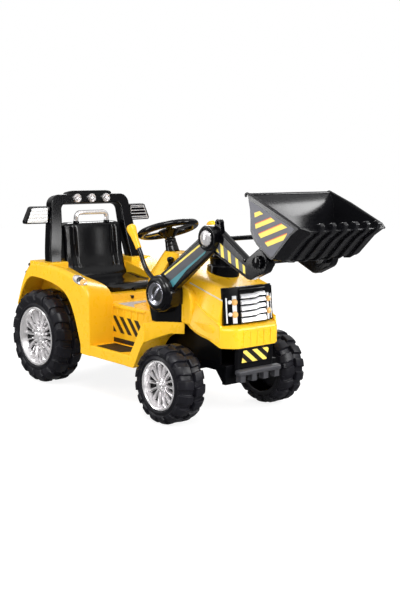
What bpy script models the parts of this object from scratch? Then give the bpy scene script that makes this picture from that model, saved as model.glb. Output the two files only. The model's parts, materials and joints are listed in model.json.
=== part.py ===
"""Kids electric ride-on excavator, modelled as an assembly of separate sub-parts.

Units are metres. +X points forward to the bucket, +Y to the vehicle's left and +Z up.
Places are given from the point on the ground under the rear axle; the datum empty then
moves the whole vehicle so that the origin is the middle of its footprint.
"""
import math

import bmesh
import bpy
from mathutils import Matrix, Vector

# Overall layout
REAR_AXLE_X = -0.50225
WHEELBASE = 0.672
GAP = 0.0003
SKIN = 0.004
SIDES = (("left", 1), ("right", -1))

# Wheels
REAR_R = 0.1575
REAR_HUB_R = 0.1005
REAR_WIDTH = 0.104
REAR_OUTER_Y = 0.2445
FRONT_R = 0.116
FRONT_HUB_R = 0.074
FRONT_WIDTH = 0.100
FRONT_OUTER_Y = 0.258
LUGS = 16
LUG_DEPTH = 0.009
HUB_WINDOWS = 10
AXLE_R = 0.006
AXLE_BORE_R = 0.0066

# Steering
KINGPIN_Y = 0.138
KINGPIN_R = 0.005
STEER_ARM = 0.045
CRANK_R = 0.0225
COLUMN_TILT = math.radians(20)
WHEEL_CENTRE = Vector((0.406, 0.0, 0.540))
WHEEL_RIM_R = 0.0885
RIM_TUBE_R = 0.0115

# Body
HALF_WIDTH = 0.225
BOX_HALF = 0.134
ARCH_IN = 0.1365
FLOOR_HALF = 0.2242
WING_HALF = 0.2235
FLOOR_Z = 0.172
SILL_Z = 0.137
DECK_Z = 0.392
ROLL_PAD_Z = 0.400
TUNNEL_Z = 0.298
WING_TOP_Z = 0.284
WING_LOW_Z = 0.250
HOOD_LOW_Z = 0.293

# Loader
LIFT = Vector((0.587, 0.0, 0.369))
ELBOW = Vector((0.770, 0.0, 0.548))
WRIST = Vector((0.962, 0.0, 0.497))
BASE_R = 0.0565
ELBOW_R = 0.037
WRIST_R = 0.035
PEDESTAL_IN = 0.1305
FOREARM_IN = 0.118
FOREARM_OUT = 0.146
BOOM_OUT = 0.178
ELBOW_OUT = 0.160
HOUSING_OUT = 0.1922
BUCKET_HALF = 0.168
BUCKET_WALL = 0.005
LUG_IN = 0.098
TEETH = 6

# Seat
SEAT_HINGE = Vector((0.062, 0.0, 0.358))
BACK_LEAN = math.radians(13.5)
ROLL_LEAN = math.radians(10.5)
ROLL_FOOT = Vector((0.006, 0.0, 0.4005))
ROLL_DEPTH = 0.034

YELLOW = ((0.83, 0.47, 0.03), 0.28, 0.0)
BLACK_GLOSS = ((0.012, 0.012, 0.014), 0.25, 0.0)
BLACK_SATIN = ((0.02, 0.02, 0.022), 0.5, 0.0)
TYRE_BLACK = ((0.025, 0.025, 0.03), 0.65, 0.0)
CHROME = ((0.80, 0.80, 0.82), 0.12, 1.0)
STEEL = ((0.45, 0.46, 0.48), 0.35, 1.0)
AMBER = ((0.80, 0.42, 0.10), 0.15, 0.0)
GREY = ((0.16, 0.16, 0.17), 0.45, 0.0)


def clear_scene():
    """Removes every object and collection, so that the script can be run again."""
    for item in list(bpy.data.objects):
        bpy.data.objects.remove(item, do_unlink=True)
    for group in list(bpy.data.collections):
        bpy.data.collections.remove(group)


def new_collection(name):
    group = bpy.data.collections.new(name)
    bpy.context.scene.collection.children.link(group)
    return group


clear_scene()
PARTS = new_collection("ride_on_excavator")
CUTTERS = new_collection("cutters")
ORIGINS = {}


def pivot(name, place=(0.0, 0.0, 0.0), parent=None):
    """An empty that carries what moves about it; place is in the vehicle's own frame."""
    empty = bpy.data.objects.new(name, None)
    empty.empty_display_size = 0.03
    PARTS.objects.link(empty)
    ORIGINS[empty] = Vector(place)
    if parent:
        empty.parent = parent
        empty.location = Vector(place) - ORIGINS[parent]
    else:
        empty.location = (REAR_AXLE_X, 0.0, 0.0)
    return empty


def material(name, look):
    colour, roughness, metallic = look
    found = bpy.data.materials.get(name) or bpy.data.materials.new(name)
    found.use_nodes = True
    shader = found.node_tree.nodes["Principled BSDF"]
    shader.inputs["Base Color"].default_value = (*colour, 1.0)
    shader.inputs["Roughness"].default_value = roughness
    shader.inputs["Metallic"].default_value = metallic
    return found


def mesh_object(name, bm):
    """Turns a bmesh into an object that is in no collection yet."""
    mesh = bpy.data.meshes.new(name)
    bm.to_mesh(mesh)
    bm.free()
    return bpy.data.objects.new(name, mesh)


def evaluated_mesh(obj):
    """The object's mesh with its modifiers applied and loose caps welded."""
    bpy.context.scene.collection.objects.link(obj)
    bpy.context.view_layer.update()
    graph = bpy.context.evaluated_depsgraph_get()
    mesh = bpy.data.meshes.new_from_object(obj.evaluated_get(graph))
    mesh.materials.clear()
    bpy.context.scene.collection.objects.unlink(obj)
    bm = bmesh.new()
    bm.from_mesh(mesh)
    bmesh.ops.remove_doubles(bm, verts=bm.verts, dist=0.00005)
    bm.to_mesh(mesh)
    bm.free()
    return mesh


def as_mesh(obj):
    """Swaps a curve or a modified object for a plain mesh object of the same name."""
    name = obj.name
    mesh = evaluated_mesh(obj)
    bpy.data.objects.remove(obj, do_unlink=True)
    return bpy.data.objects.new(name, mesh)


def box(name, low, high):
    """A box between two corners, in the vehicle's frame."""
    low, high = Vector(low), Vector(high)
    bm = bmesh.new()
    bmesh.ops.create_cube(bm, size=1.0)
    bmesh.ops.scale(bm, vec=high - low, verts=bm.verts)
    bmesh.ops.translate(bm, vec=(low + high) / 2, verts=bm.verts)
    return mesh_object(name, bm)


def rod(name, radius, start, end, sides=16, end_radius=None):
    """A round bar, or a cone, from start to end."""
    start, end = Vector(start), Vector(end)
    run = end - start
    bm = bmesh.new()
    bmesh.ops.create_cone(bm, cap_ends=True, segments=sides, radius1=radius,
                          radius2=radius if end_radius is None else end_radius, depth=run.length)
    turn = Vector((0, 0, 1)).rotation_difference(run).to_matrix().to_4x4()
    bmesh.ops.transform(bm, matrix=Matrix.Translation((start + end) / 2) @ turn, verts=bm.verts)
    return mesh_object(name, bm)


def turned(name, profile, steps):
    """A profile of (radius, height) points spun about local Z, closed unless its ends are on the axis."""
    bm = bmesh.new()
    points = [bm.verts.new((radius, 0.0, height)) for radius, height in profile]
    following = points[1:] + (points[:1] if profile[0][0] > 0 else [])
    for here, there in zip(points, following):
        bm.edges.new((here, there))
    obj = mesh_object(name, bm)
    screw = obj.modifiers.new("turn", "SCREW")
    screw.axis = "Z"
    screw.steps = screw.render_steps = steps
    screw.use_merge_vertices = True
    screw.merge_threshold = 0.00005
    screw.use_smooth_shade = False
    return as_mesh(obj)


def across_y(obj, side, place):
    """Lays a turned piece's axis along Y, with its top towards that side."""
    obj.rotation_euler = (-side * math.pi / 2, 0.0, 0.0)
    obj.location = place
    return obj


def flat(name, outlines, thickness):
    """A flat outline with holes, in local XY, that is thickness deep about local Z."""
    curve = bpy.data.curves.new(name, "CURVE")
    curve.dimensions = "2D"
    curve.fill_mode = "BOTH"
    curve.extrude = thickness / 2
    for outline in outlines:
        spline = curve.splines.new("POLY")
        spline.points.add(len(outline) - 1)
        spline.use_cyclic_u = True
        for point, (x, y) in zip(spline.points, outline):
            point.co = (x, y, 0.0, 1.0)
    return as_mesh(bpy.data.objects.new(name, curve))


def side_plate(name, outlines, low_y, high_y):
    """A plate whose outlines are (x, z) points, between two values of y."""
    obj = flat(name, outlines, abs(high_y - low_y))
    turn = Matrix.Rotation(math.pi / 2, 4, "X")
    obj.data.transform(Matrix.Translation((0, (low_y + high_y) / 2, 0)) @ turn)
    return obj


def plan_plate(name, outlines, low_z, high_z):
    """A plate whose outlines are (x, y) points, between two values of z."""
    obj = flat(name, outlines, high_z - low_z)
    obj.data.transform(Matrix.Translation((0, 0, (low_z + high_z) / 2)))
    return obj


def front_plate(name, outlines, depth):
    """A plate whose outlines are (y, z) points, centred on x = 0."""
    obj = flat(name, outlines, depth)
    obj.data.transform(Matrix(((0, 0, 1, 0), (1, 0, 0, 0), (0, 1, 0, 0), (0, 0, 0, 1))))
    return obj


def arc(centre, radius, start, end, count):
    """Points on an arc, angles in degrees, both ends included."""
    turn = (math.radians(start + (end - start) * i / (count - 1)) for i in range(count))
    return [(centre[0] + radius * math.cos(a), centre[1] + radius * math.sin(a)) for a in turn]


def circle(centre, radius, count=16):
    return arc(centre, radius, 0, 360 - 360 / count, count)


def rectangle(low_x, high_x, low_y, high_y):
    return [(low_x, low_y), (high_x, low_y), (high_x, high_y), (low_x, high_y)]


def both_ways(half):
    """An outline's +Y half followed by its mirror image, for points given as (x, y)."""
    return half + [(x, -y) for x, y in reversed(half)]


def mirrored_yz(half):
    """An outline's +Y half followed by its mirror image, for points given as (y, z)."""
    return half + [(-y, z) for y, z in reversed(half)]


def loft(name, sections):
    """A closed solid through loops of equal length, with flat ends."""
    bm = bmesh.new()
    rings = [[bm.verts.new(point) for point in section] for section in sections]
    count = len(rings[0])
    for first, second in zip(rings, rings[1:]):
        for i in range(count):
            j = (i + 1) % count
            bm.faces.new((first[i], first[j], second[j], second[i]))
    bm.faces.new(list(reversed(rings[0])))
    bm.faces.new(rings[-1])
    bmesh.ops.recalc_face_normals(bm, faces=bm.faces)
    bmesh.ops.triangulate(bm, faces=bm.faces)
    return mesh_object(name, bm)


def tube(name, points, radius, resolution=2):
    """A round tube along a smooth curve through the points."""
    curve = bpy.data.curves.new(name, "CURVE")
    curve.dimensions = "3D"
    curve.bevel_depth = radius
    curve.bevel_resolution = resolution
    curve.use_fill_caps = True
    spline = curve.splines.new("POLY")
    spline.points.add(len(points) - 1)
    for point, place in zip(spline.points, points):
        point.co = (*place, 1.0)
    return as_mesh(bpy.data.objects.new(name, curve))


def boolean(obj, tool, operation):
    """Adds a Boolean; the tool goes to the cutters with the vehicle's placing."""
    if tool.name not in CUTTERS.objects:
        CUTTERS.objects.link(tool)
        tool.parent = DATUM
        tool.hide_render = True
        tool.display_type = "WIRE"
    modifier = obj.modifiers.new(operation.lower(), "BOOLEAN")
    modifier.operation = operation
    modifier.object = tool
    modifier.solver = "EXACT"


def cut(obj, *tools):
    for tool in tools:
        boolean(obj, tool, "DIFFERENCE")


def unite(obj, *tools):
    for tool in tools:
        boolean(obj, tool, "UNION")


def soften(obj, width, segments=1, angle=35):
    """Rounds every edge that is sharper than the angle."""
    bevel = obj.modifiers.new("soften", "BEVEL")
    bevel.width = width
    bevel.segments = segments
    bevel.limit_method = "ANGLE"
    bevel.angle_limit = math.radians(angle)
    bevel.use_clamp_overlap = True
    return obj


def place(obj, parent, look, smooth=False):
    """Links a finished piece that was built in the vehicle's frame and parents it."""
    PARTS.objects.link(obj)
    shift = Matrix.Translation(-ORIGINS[parent])
    if obj.modifiers:
        obj.parent = parent
        obj.matrix_basis = shift @ obj.matrix_basis
    else:
        obj.data.transform(shift @ obj.matrix_basis)
        obj.matrix_basis = Matrix.Identity(4)
        obj.parent = parent
    obj.data.materials.append(material(obj.name + "_look", look))
    if smooth:
        obj.data.shade_smooth()
        obj.data.set_sharp_from_angle(angle=math.radians(40))
    return obj


DATUM = pivot("datum")


# Wheels, built round local Z with the outer face up
def tyre(name, radius, hub_radius, width, side, centre_y, x, parent):
    """A blow-moulded tyre and disc, open on its inner side; every second step is drawn in between lugs."""
    half = width / 2
    profile = [
        (AXLE_BORE_R, half - 0.040), (hub_radius * 0.86, half - 0.040), (hub_radius + 0.004, half - 0.004),
        (radius * 0.88, half), (radius, half * 0.62), (radius, -half * 0.62), (radius * 0.88, -half),
        (hub_radius * 0.8, -half + 0.003), (AXLE_BORE_R, -half + 0.003),
    ]
    steps = LUGS * 2
    obj = turned(name, profile, steps)
    for vertex in obj.data.vertices:
        spread = math.hypot(vertex.co.x, vertex.co.y)
        if spread < radius * 0.95:
            continue
        step = round(math.atan2(vertex.co.y, vertex.co.x) / (2 * math.pi) * steps)
        if (step + (vertex.co.z > 0)) % 2:
            shrink = (spread - LUG_DEPTH) / spread
            vertex.co.x *= shrink
            vertex.co.y *= shrink
    wall = LUG_DEPTH + 0.006
    hollow = turned("tyre_hollow", [
        (0.016, -half - 0.01), (0.016, half - 0.046), (hub_radius * 0.86 + 0.004, half - 0.046),
        (hub_radius + 0.010, half - 0.012),
        (radius * 0.84, half - 0.008), (radius - wall, half * 0.50), (radius - wall, -half + 0.008),
        (radius * 0.76, -half + 0.008), (radius * 0.76, -half - 0.01),
    ], 16)
    across_y(obj, side, (x, side * centre_y, radius))
    cut(obj, across_y(hollow, side, (x, side * centre_y, radius)))
    return place(obj, parent, TYRE_BLACK, smooth=True)


def hubcap(name, hub_radius, width, side, centre_y, x, z, parent):
    """A dished chrome cap with a flat outer ring, windows between its spokes and a raised centre."""
    face = width / 2 - 0.006
    back = width / 2 - 0.039
    profile = [
        (AXLE_BORE_R, face - 0.010), (hub_radius * 0.26, face - 0.012), (hub_radius * 0.30, face - 0.020),
        (hub_radius * 0.72, face - 0.020), (hub_radius * 0.80, face), (hub_radius - 0.0002, face - 0.002),
        (hub_radius * 0.85, back + 0.0036), (AXLE_BORE_R, back + 0.0036),
    ]
    obj = turned(name, profile, HUB_WINDOWS * 2)
    across_y(obj, side, (x, side * centre_y, z))
    for i in range(HUB_WINDOWS):
        window = box("hubcap_window", (hub_radius * 0.36, -hub_radius * 0.075, back - 0.01),
                     (hub_radius * 0.70, hub_radius * 0.075, face + 0.01))
        window.data.transform(Matrix.Rotation(2 * math.pi * (i + 0.5) / HUB_WINDOWS, 4, "Z"))
        cut(obj, across_y(window, side, (x, side * centre_y, z)))
    return place(obj, parent, CHROME)


def rear_wheels():
    for word, side in SIDES:
        centre_y = REAR_OUTER_Y - REAR_WIDTH / 2
        carrier = pivot(f"rear_wheel_{word}_axis", (0, side * centre_y, REAR_R), DATUM)
        tyre(f"rear_tyre_{word}", REAR_R, REAR_HUB_R, REAR_WIDTH, side, centre_y, 0.0, carrier)
        hubcap(f"rear_hubcap_{word}", REAR_HUB_R, REAR_WIDTH, side, centre_y, 0.0, REAR_R, carrier)


def front_wheels(knuckles):
    for word, side in SIDES:
        centre_y = FRONT_OUTER_Y - FRONT_WIDTH / 2
        carrier = pivot(f"front_wheel_{word}_axis", (WHEELBASE, side * centre_y, FRONT_R), knuckles[word])
        tyre(f"front_tyre_{word}", FRONT_R, FRONT_HUB_R, FRONT_WIDTH, side, centre_y, WHEELBASE, carrier)
        hubcap(f"front_hubcap_{word}", FRONT_HUB_R, FRONT_WIDTH, side, centre_y, WHEELBASE, FRONT_R, carrier)


# Running gear
TRAY_HALF = 0.104
TRAY_LOW_Z = 0.120
BEAM_TOP_Z = FRONT_R + 0.050
TIE_ROD_Z = 0.1605
TRAY_TOP_Z = 0.176
TRAY_REAR_X = -0.095
TRAY_FRONT_X = 0.800
BULKHEAD_X = 0.585


def chassis_frame():
    """A tray open above for the drive gear, then a channel open below that spans the front axle."""
    half = TRAY_HALF - SKIN
    obj = box("chassis_frame", (TRAY_REAR_X, -TRAY_HALF, TRAY_LOW_Z), (TRAY_FRONT_X, TRAY_HALF, TRAY_TOP_Z))
    inside = box("tray_inside", (TRAY_REAR_X + SKIN, -half, TRAY_LOW_Z + SKIN),
                 (BULKHEAD_X - SKIN, half, TRAY_TOP_Z + 0.02))
    channel = box("channel_inside", (BULKHEAD_X + SKIN, -half, TRAY_LOW_Z - 0.02),
                  (TRAY_FRONT_X - SKIN, half, TRAY_TOP_Z - SKIN))
    notch = side_plate("channel_notch", [[
        (0.592, 0.10), (0.592, 0.158), (0.608, 0.166), (0.650, 0.166), (0.660, 0.158),
        (0.757, 0.158), (0.785, 0.126), (0.785, 0.10),
    ]], -0.12, 0.12)
    axle_bore = rod("tray_axle_bore", AXLE_BORE_R, (0, -0.2, REAR_R), (0, 0.2, REAR_R))
    beam_slot = box("tray_beam_slot", (WHEELBASE - 0.0123, -0.2, 0.10),
                    (WHEELBASE + 0.0123, 0.2, BEAM_TOP_Z + 0.0015))
    rod_slot = box("tray_rod_slot", (BULKHEAD_X - 0.010, -0.030, TIE_ROD_Z - 0.010),
                   (BULKHEAD_X + 0.010, 0.030, 0.18))
    cut(obj, inside, channel, notch, axle_bore, beam_slot, rod_slot)
    return place(obj, DATUM, BLACK_SATIN)


def rear_axle():
    """A fixed steel rod; both rear wheels turn on it."""
    obj = rod("rear_axle", AXLE_R, (0, -0.226, REAR_R), (0, 0.226, REAR_R))
    return place(obj, DATUM, STEEL)


def gear_motors():
    """One gearbox with its motor beside each rear wheel."""
    for word, side in SIDES:
        low, high = sorted((side * 0.099, side * 0.068))
        obj = box(f"gear_motor_{word}", (-0.040, low, TRAY_LOW_Z + SKIN + GAP), (0.030, high, 0.196))
        soften(obj, 0.006)
        motor = rod("motor_can", 0.0175, (-0.012, side * 0.075, 0.222), (-0.012, side * 0.030, 0.222), 16)
        neck = box("motor_neck", (-0.028, min(side * 0.069, side * 0.090), 0.180),
                   (0.004, max(side * 0.069, side * 0.090), 0.236))
        bore = rod("gearbox_bore", AXLE_BORE_R, (0, -0.2, REAR_R), (0, 0.2, REAR_R))
        unite(obj, neck, motor)
        cut(obj, bore)
        place(obj, DATUM, GREY)


def battery():
    """A sealed lead-acid block under the seat."""
    obj = box("battery", (0.090, -0.050, TRAY_LOW_Z + SKIN + GAP), (0.190, 0.050, 0.222))
    return place(soften(obj, 0.003), DATUM, BLACK_SATIN)


def control_box():
    """The relay and receiver box ahead of the battery."""
    obj = box("control_box", (0.250, -0.045, TRAY_LOW_Z + SKIN + GAP), (0.340, 0.045, 0.160))
    return place(soften(obj, 0.004), DATUM, GREY)


def front_axle_beam():
    """A high cross beam with a yoke hanging at each end for the kingpins."""
    beam_end = KINGPIN_Y + 0.012
    post_in, post_out = KINGPIN_Y - 0.022, KINGPIN_Y - 0.012
    prong_in, prong_out, beam_low = 0.026, 0.034, 0.0348
    half = [
        (0.0, BEAM_TOP_Z), (post_out, BEAM_TOP_Z), (post_out, FRONT_R + prong_out),
        (beam_end, FRONT_R + prong_out),
        (beam_end, FRONT_R + prong_in), (post_out, FRONT_R + prong_in), (post_out, FRONT_R - prong_in),
        (beam_end, FRONT_R - prong_in), (beam_end, FRONT_R - prong_out), (post_in, FRONT_R - prong_out),
        (post_in, FRONT_R + beam_low), (0.0, FRONT_R + beam_low),
    ]
    outline = half + [(-y, z) for y, z in reversed(half[1:-1])]
    obj = front_plate("front_axle_beam", [outline], 0.022)
    obj.location = (WHEELBASE, 0, 0)
    for _, side in SIDES:
        cut(obj, rod("kingpin_bore", KINGPIN_R + 0.0005, (WHEELBASE, side * KINGPIN_Y, 0.0),
                     (WHEELBASE, side * KINGPIN_Y, 0.3)))
    return place(obj, DATUM, BLACK_SATIN)


def steering_knuckles():
    """Kingpin block, stub axle and steering arm, one on each side; each turns about its kingpin."""
    carriers = {}
    for word, side in SIDES:
        y = side * KINGPIN_Y
        carrier = pivot(f"knuckle_{word}_axis", (WHEELBASE, y, FRONT_R), DATUM)
        obj = box(f"steering_knuckle_{word}", (WHEELBASE - 0.010, y - 0.009, FRONT_R - 0.0255),
                  (WHEELBASE + 0.010, y + 0.009, FRONT_R + 0.0255))
        kingpin = rod("kingpin", KINGPIN_R, (WHEELBASE, y, FRONT_R - 0.034), (WHEELBASE, y, FRONT_R + 0.041))
        stub = rod("stub_axle", AXLE_R, (WHEELBASE, y, FRONT_R), (WHEELBASE, side * 0.241, FRONT_R))
        arm = box("steering_arm", (WHEELBASE - STEER_ARM - 0.007, y - 0.006, FRONT_R + 0.0355),
                  (WHEELBASE + 0.006, y + 0.006, FRONT_R + 0.0415))
        pin = rod("steering_arm_pin", 0.0035, (WHEELBASE - STEER_ARM, y, FRONT_R + 0.038),
                  (WHEELBASE - STEER_ARM, y, FRONT_R + 0.054), 12)
        unite(obj, kingpin, stub, arm, pin)
        place(obj, carrier, STEEL)
        carriers[word] = carrier
    return carriers


def tie_rod():
    """A flat bar over both steering arms; slots let it slide sideways as the arms swing."""
    x = WHEELBASE - STEER_ARM
    crank_x = CRANK_SLOT_X
    half = [
        (x + 0.009, 0.0), (x + 0.009, KINGPIN_Y + 0.008), (x - 0.009, KINGPIN_Y + 0.008),
        (x - 0.009, 0.016), (crank_x - 0.011, 0.011), (crank_x - 0.011, 0.0),
    ]
    outline = half + [(px, -py) for px, py in reversed(half[1:-1])]
    slots = [rectangle(x - 0.0052, x + 0.0062, y - 0.0045, y + 0.0045) for y in (-KINGPIN_Y, KINGPIN_Y)]
    slots.append(rectangle(crank_x - 0.0055, crank_x + 0.0100, -0.0052, 0.0052))
    carrier = pivot("tie_rod_slide", (x, 0, TIE_ROD_Z), DATUM)
    obj = plan_plate("tie_rod", [outline] + slots, TIE_ROD_Z - 0.002, TIE_ROD_Z + 0.002)
    return place(obj, carrier, STEEL)


def column_point(down):
    """A point on the steering axis, that far down from the wheel's centre."""
    return WHEEL_CENTRE + Vector((math.sin(COLUMN_TILT), 0, -math.cos(COLUMN_TILT))) * down


SHAFT_LOW_Z = 0.185
COLUMN_DROP = (WHEEL_CENTRE.z - SHAFT_LOW_Z) / math.cos(COLUMN_TILT)
SHAFT_END = column_point(COLUMN_DROP)
COLUMN_UP = Vector((-math.sin(COLUMN_TILT), 0, math.cos(COLUMN_TILT)))
CRANK_WAY = Vector((-math.cos(COLUMN_TILT), 0, -math.sin(COLUMN_TILT)))
CRANK_PIN = SHAFT_END + CRANK_WAY * CRANK_R
CRANK_SLOT_X = CRANK_PIN.x + (CRANK_PIN.z - TIE_ROD_Z) * math.tan(COLUMN_TILT)


def steering(carrier):
    """Shaft with a cranked foot, four-spoke wheel and horn button, on the tilted steering axis."""
    shaft = rod("steering_shaft", 0.006, column_point(0.012), SHAFT_END - COLUMN_UP * 0.003, 12)
    crank = rod("shaft_crank", 0.005, SHAFT_END - CRANK_WAY * 0.004, CRANK_PIN + CRANK_WAY * 0.003, 12)
    pin = rod("shaft_crank_pin", 0.0035, CRANK_PIN + COLUMN_UP * 0.002, CRANK_PIN - COLUMN_UP * 0.0225, 12)
    unite(shaft, crank, pin)
    place(shaft, carrier, STEEL)

    tilt = Matrix.Translation(WHEEL_CENTRE) @ Matrix.Rotation(-COLUMN_TILT, 4, "Y")
    grip = reversed(circle((0, 0), RIM_TUBE_R, 7))
    rim = turned("steering_wheel", [(WHEEL_RIM_R + x, z) for x, z in grip], 28)
    hub = turned("wheel_hub", [
        (0.0165, 0.0), (0.034, -0.002), (0.034, -0.008), (0.017, -0.028), (0.0068, -0.028), (0.0068, -0.012),
        (0.0165, -0.012),
    ], 16)
    rim.matrix_basis = tilt
    hub.matrix_basis = tilt
    spokes = []
    for angle in (35, 145, 215, 325):
        spoke = box("wheel_spoke", (0.030, -0.011, -0.0085), (WHEEL_RIM_R - 0.004, 0.011, -0.0015))
        spoke.matrix_basis = tilt @ Matrix.Rotation(math.radians(angle), 4, "Z")
        spokes.append(spoke)
    unite(rim, hub, *spokes)
    place(rim, carrier, BLACK_GLOSS)

    button_carrier = pivot("horn_button_slide", WHEEL_CENTRE, carrier)
    button = turned("horn_button", [(0.0, 0.0050), (0.013, 0.0035), (0.0160, 0.0005), (0.0160, -0.0060),
                                    (0.0, -0.0060)], 14)
    button.matrix_basis = tilt
    place(button, button_carrier, YELLOW)


def steering_column():
    """The fixed sleeve that the shaft runs in, between the dashboard and the wheel."""
    length = 0.042
    top = column_point(0.031)
    obj = turned("steering_column", [(0.0072, 0.0), (0.017, 0.0), (0.0215, -length), (0.0072, -length)], 20)
    obj.matrix_basis = Matrix.Translation(top) @ Matrix.Rotation(-COLUMN_TILT, 4, "Y")
    return place(obj, DATUM, BLACK_GLOSS)


# Body shells
FENDER_STATIONS = (
    (-0.120, 0.262, 0.262), (-0.052, 0.404, 0.402), (0.030, 0.406, 0.388),
    (0.088, 0.402, 0.371), (0.130, 0.395, 0.358), (0.205, 0.377, 0.344),
    (0.262, 0.350, 0.334), (0.288, 0.300, 0.296), (0.2955, 0.150, 0.150),
)
FENDER_ROUND = 0.016


def fender_solid(name, side, inner_y, low_z, inset=0.0):
    """The rear fender, its top falling towards the seat and the front; the inset draws it in."""
    sections = []
    last = len(FENDER_STATIONS) - 1
    for i, (x, outer_z, inner_z) in enumerate(FENDER_STATIONS):
        along = x + (inset if i == 0 else -inset if i == last else 0.0)
        out = HALF_WIDTH - inset
        loop = [(inner_y, low_z), (out, low_z), (out, outer_z - FENDER_ROUND - inset),
                (out - FENDER_ROUND, outer_z - inset), (inner_y, inner_z - inset)]
        sections.append([(along, side * y, z) for y, z in loop])
    return loft(name, sections)


def body_shell():
    """The yellow body: fenders over the rear wheels, seat box, tunnel, footwells and front wings."""
    seat_box = [
        (-0.116, SILL_Z), (-0.116, 0.275), (-0.055, DECK_Z), (0.012, DECK_Z), (0.024, 0.330),
        (0.222, 0.324), (0.296, 0.290), (0.296, SILL_Z),
    ]
    obj = side_plate("body_shell", [seat_box], -BOX_HALF, BOX_HALF)
    tunnel_low_z = SILL_Z + 0.001
    tunnel = side_plate("body_tunnel", [[
        (0.270, tunnel_low_z), (0.270, 0.280), (0.300, TUNNEL_Z), (0.545, TUNNEL_Z), (0.545, 0.230),
        (0.520, tunnel_low_z),
    ]], -BOX_HALF + 0.002, BOX_HALF - 0.002)
    unite(obj, tunnel)
    for _, side in SIDES:
        fender = fender_solid("body_fender", side, BOX_HALF - 0.006, 0.100)
        pad = box("roll_bar_pad", (-0.044, min(side * 0.140, side * 0.205), 0.375),
                  (0.042, max(side * 0.140, side * 0.205), ROLL_PAD_Z))
        floor = box("footwell_floor", (0.240, min(side * 0.120, side * FLOOR_HALF), SILL_Z + 0.0004),
                    (0.512, max(side * 0.120, side * FLOOR_HALF), FLOOR_Z))
        wing = side_plate("front_wing", [[
            (0.480, SILL_Z + 0.0007), (0.519, SILL_Z + 0.0007), (0.553, 0.204), (0.583, 0.239),
            (0.610, WING_LOW_Z), (0.655, WING_LOW_Z), (0.655, WING_TOP_Z), (0.562, WING_TOP_Z),
            (0.523, 0.215), (0.492, 0.160),
        ]], side * 0.124, side * WING_HALF)
        low_y, high_y = sorted((side * 0.1405, side * 0.2045))
        recess = box("roll_bar_recess", (-0.0435, low_y, ROLL_PAD_Z - 0.001), (0.0415, high_y, 0.42))
        unite(obj, fender, floor, wing)
        cut(obj, *wheel_arch_tools(side), wing_trim(side), recess)
        unite(obj, pad)
    cut(obj, box("sill_trim", (-0.2, -0.3, 0.0), (0.7, 0.3, SILL_Z - 0.0003)), *body_inside_tools())
    return place(obj, DATUM, YELLOW)


def wheel_arch_tools(side):
    """Under-fender space, and the lower opening that the outer lip leaves."""
    room = fender_solid("fender_room", side, ARCH_IN, 0.05, SKIN)
    mouth = side_plate("fender_mouth", [[
        (-0.130, 0.05), (-0.130, 0.278), (-0.105, 0.290), (-0.072, 0.340), (-0.040, 0.352), (0.050, 0.348),
        (0.135, 0.330), (0.175, 0.305), (0.200, 0.265), (0.235, 0.186), (0.252, 0.150), (0.252, 0.05),
    ]], side * 0.200, side * 0.240)
    behind = box("fender_back_trim", (-0.140, min(side * (ARCH_IN - 0.0004), side * 0.240), 0.05),
                 (-0.050, max(side * (ARCH_IN - 0.0004), side * 0.240), 0.272))
    return room, mouth, behind


def wing_trim(side):
    """Cuts the wing's front edge on a diagonal, so that the steered wheel clears it."""
    outline = [(0.560, side * 0.240), (0.560, side * 0.225), (0.580, side * 0.183), (0.642, side * 0.1255),
               (0.642, side * 0.100), (0.700, side * 0.100), (0.700, side * 0.240)]
    return plan_plate("wing_trim", [outline], 0.10, 0.32)


def body_inside_tools():
    """The hollow under the seat and tunnel, open below, and the battery hatch."""
    s = SKIN
    hollow = side_plate("body_hollow", [[
        (-0.116 + s, 0.05), (-0.116 + s, 0.274), (-0.054 + s * 0.7, DECK_Z - s), (0.012 - s, DECK_Z - s),
        (0.021, 0.330 - s), (0.220, 0.324 - s), (0.290, 0.290 - s), (0.305, TUNNEL_Z - s),
        (0.600, TUNNEL_Z - s), (0.600, 0.05),
    ]], -BOX_HALF + SKIN, BOX_HALF - SKIN)
    hatch = box("battery_hatch", (0.080, -0.080, 0.20), (0.200, 0.080, 0.345))
    shaft_way = rod("shaft_way", 0.020, column_point(0.10), column_point(0.46), 12)
    axle_slot = box("body_axle_slot", (-0.0075, -0.16, 0.10), (0.0075, 0.16, REAR_R + 0.0075))
    return hollow, hatch, shaft_way, axle_slot


def hood_section(x, low_half, low_z, shoulder_half, shoulder_z, crown_z, inset=0.0):
    """One cross-section of the hood at x, as a loop from the left foot over the crown."""
    s = inset
    mid_half = shoulder_half + (low_half - shoulder_half) * 0.35
    mid_z = shoulder_z - (shoulder_z - low_z) * 0.35
    half = [(low_half - s, low_z), (mid_half - s, mid_z - s * 0.3), (shoulder_half - s, shoulder_z - s),
            (shoulder_half * 0.72, shoulder_z + (crown_z - shoulder_z) * 0.66 - s),
            (shoulder_half * 0.3, crown_z - s)]
    return [(x, y, z) for y, z in half] + [(x, -y, z) for y, z in reversed(half)]


HOOD_REST_GAP = 0.001
HOOD_STATIONS = (
    (0.566, 0.1285, 0.116, 0.432, 0.462),
    (0.650, 0.1285, 0.108, 0.418, 0.437),
    (0.720, 0.1260, 0.099, 0.408, 0.418),
    (0.774, 0.1180, 0.092, 0.398, 0.402),
)


def hood():
    """The engine cover, a shell that tapers to the grille."""
    low = HOOD_LOW_Z + GAP
    obj = loft("hood", [hood_section(x, a, low, b, c, d) for x, a, b, c, d in HOOD_STATIONS])
    hollow = [hood_section(x, a, low - 0.02, b, c, d, SKIN) for x, a, b, c, d in HOOD_STATIONS]
    hollow[0] = [(0.53, y, z) for _, y, z in hollow[0]]
    hollow[-1] = [(x - SKIN, y, z) for x, y, z in hollow[-1]]
    cut(obj, loft("hood_hollow", hollow))
    return place(obj, DATUM, YELLOW)


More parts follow.
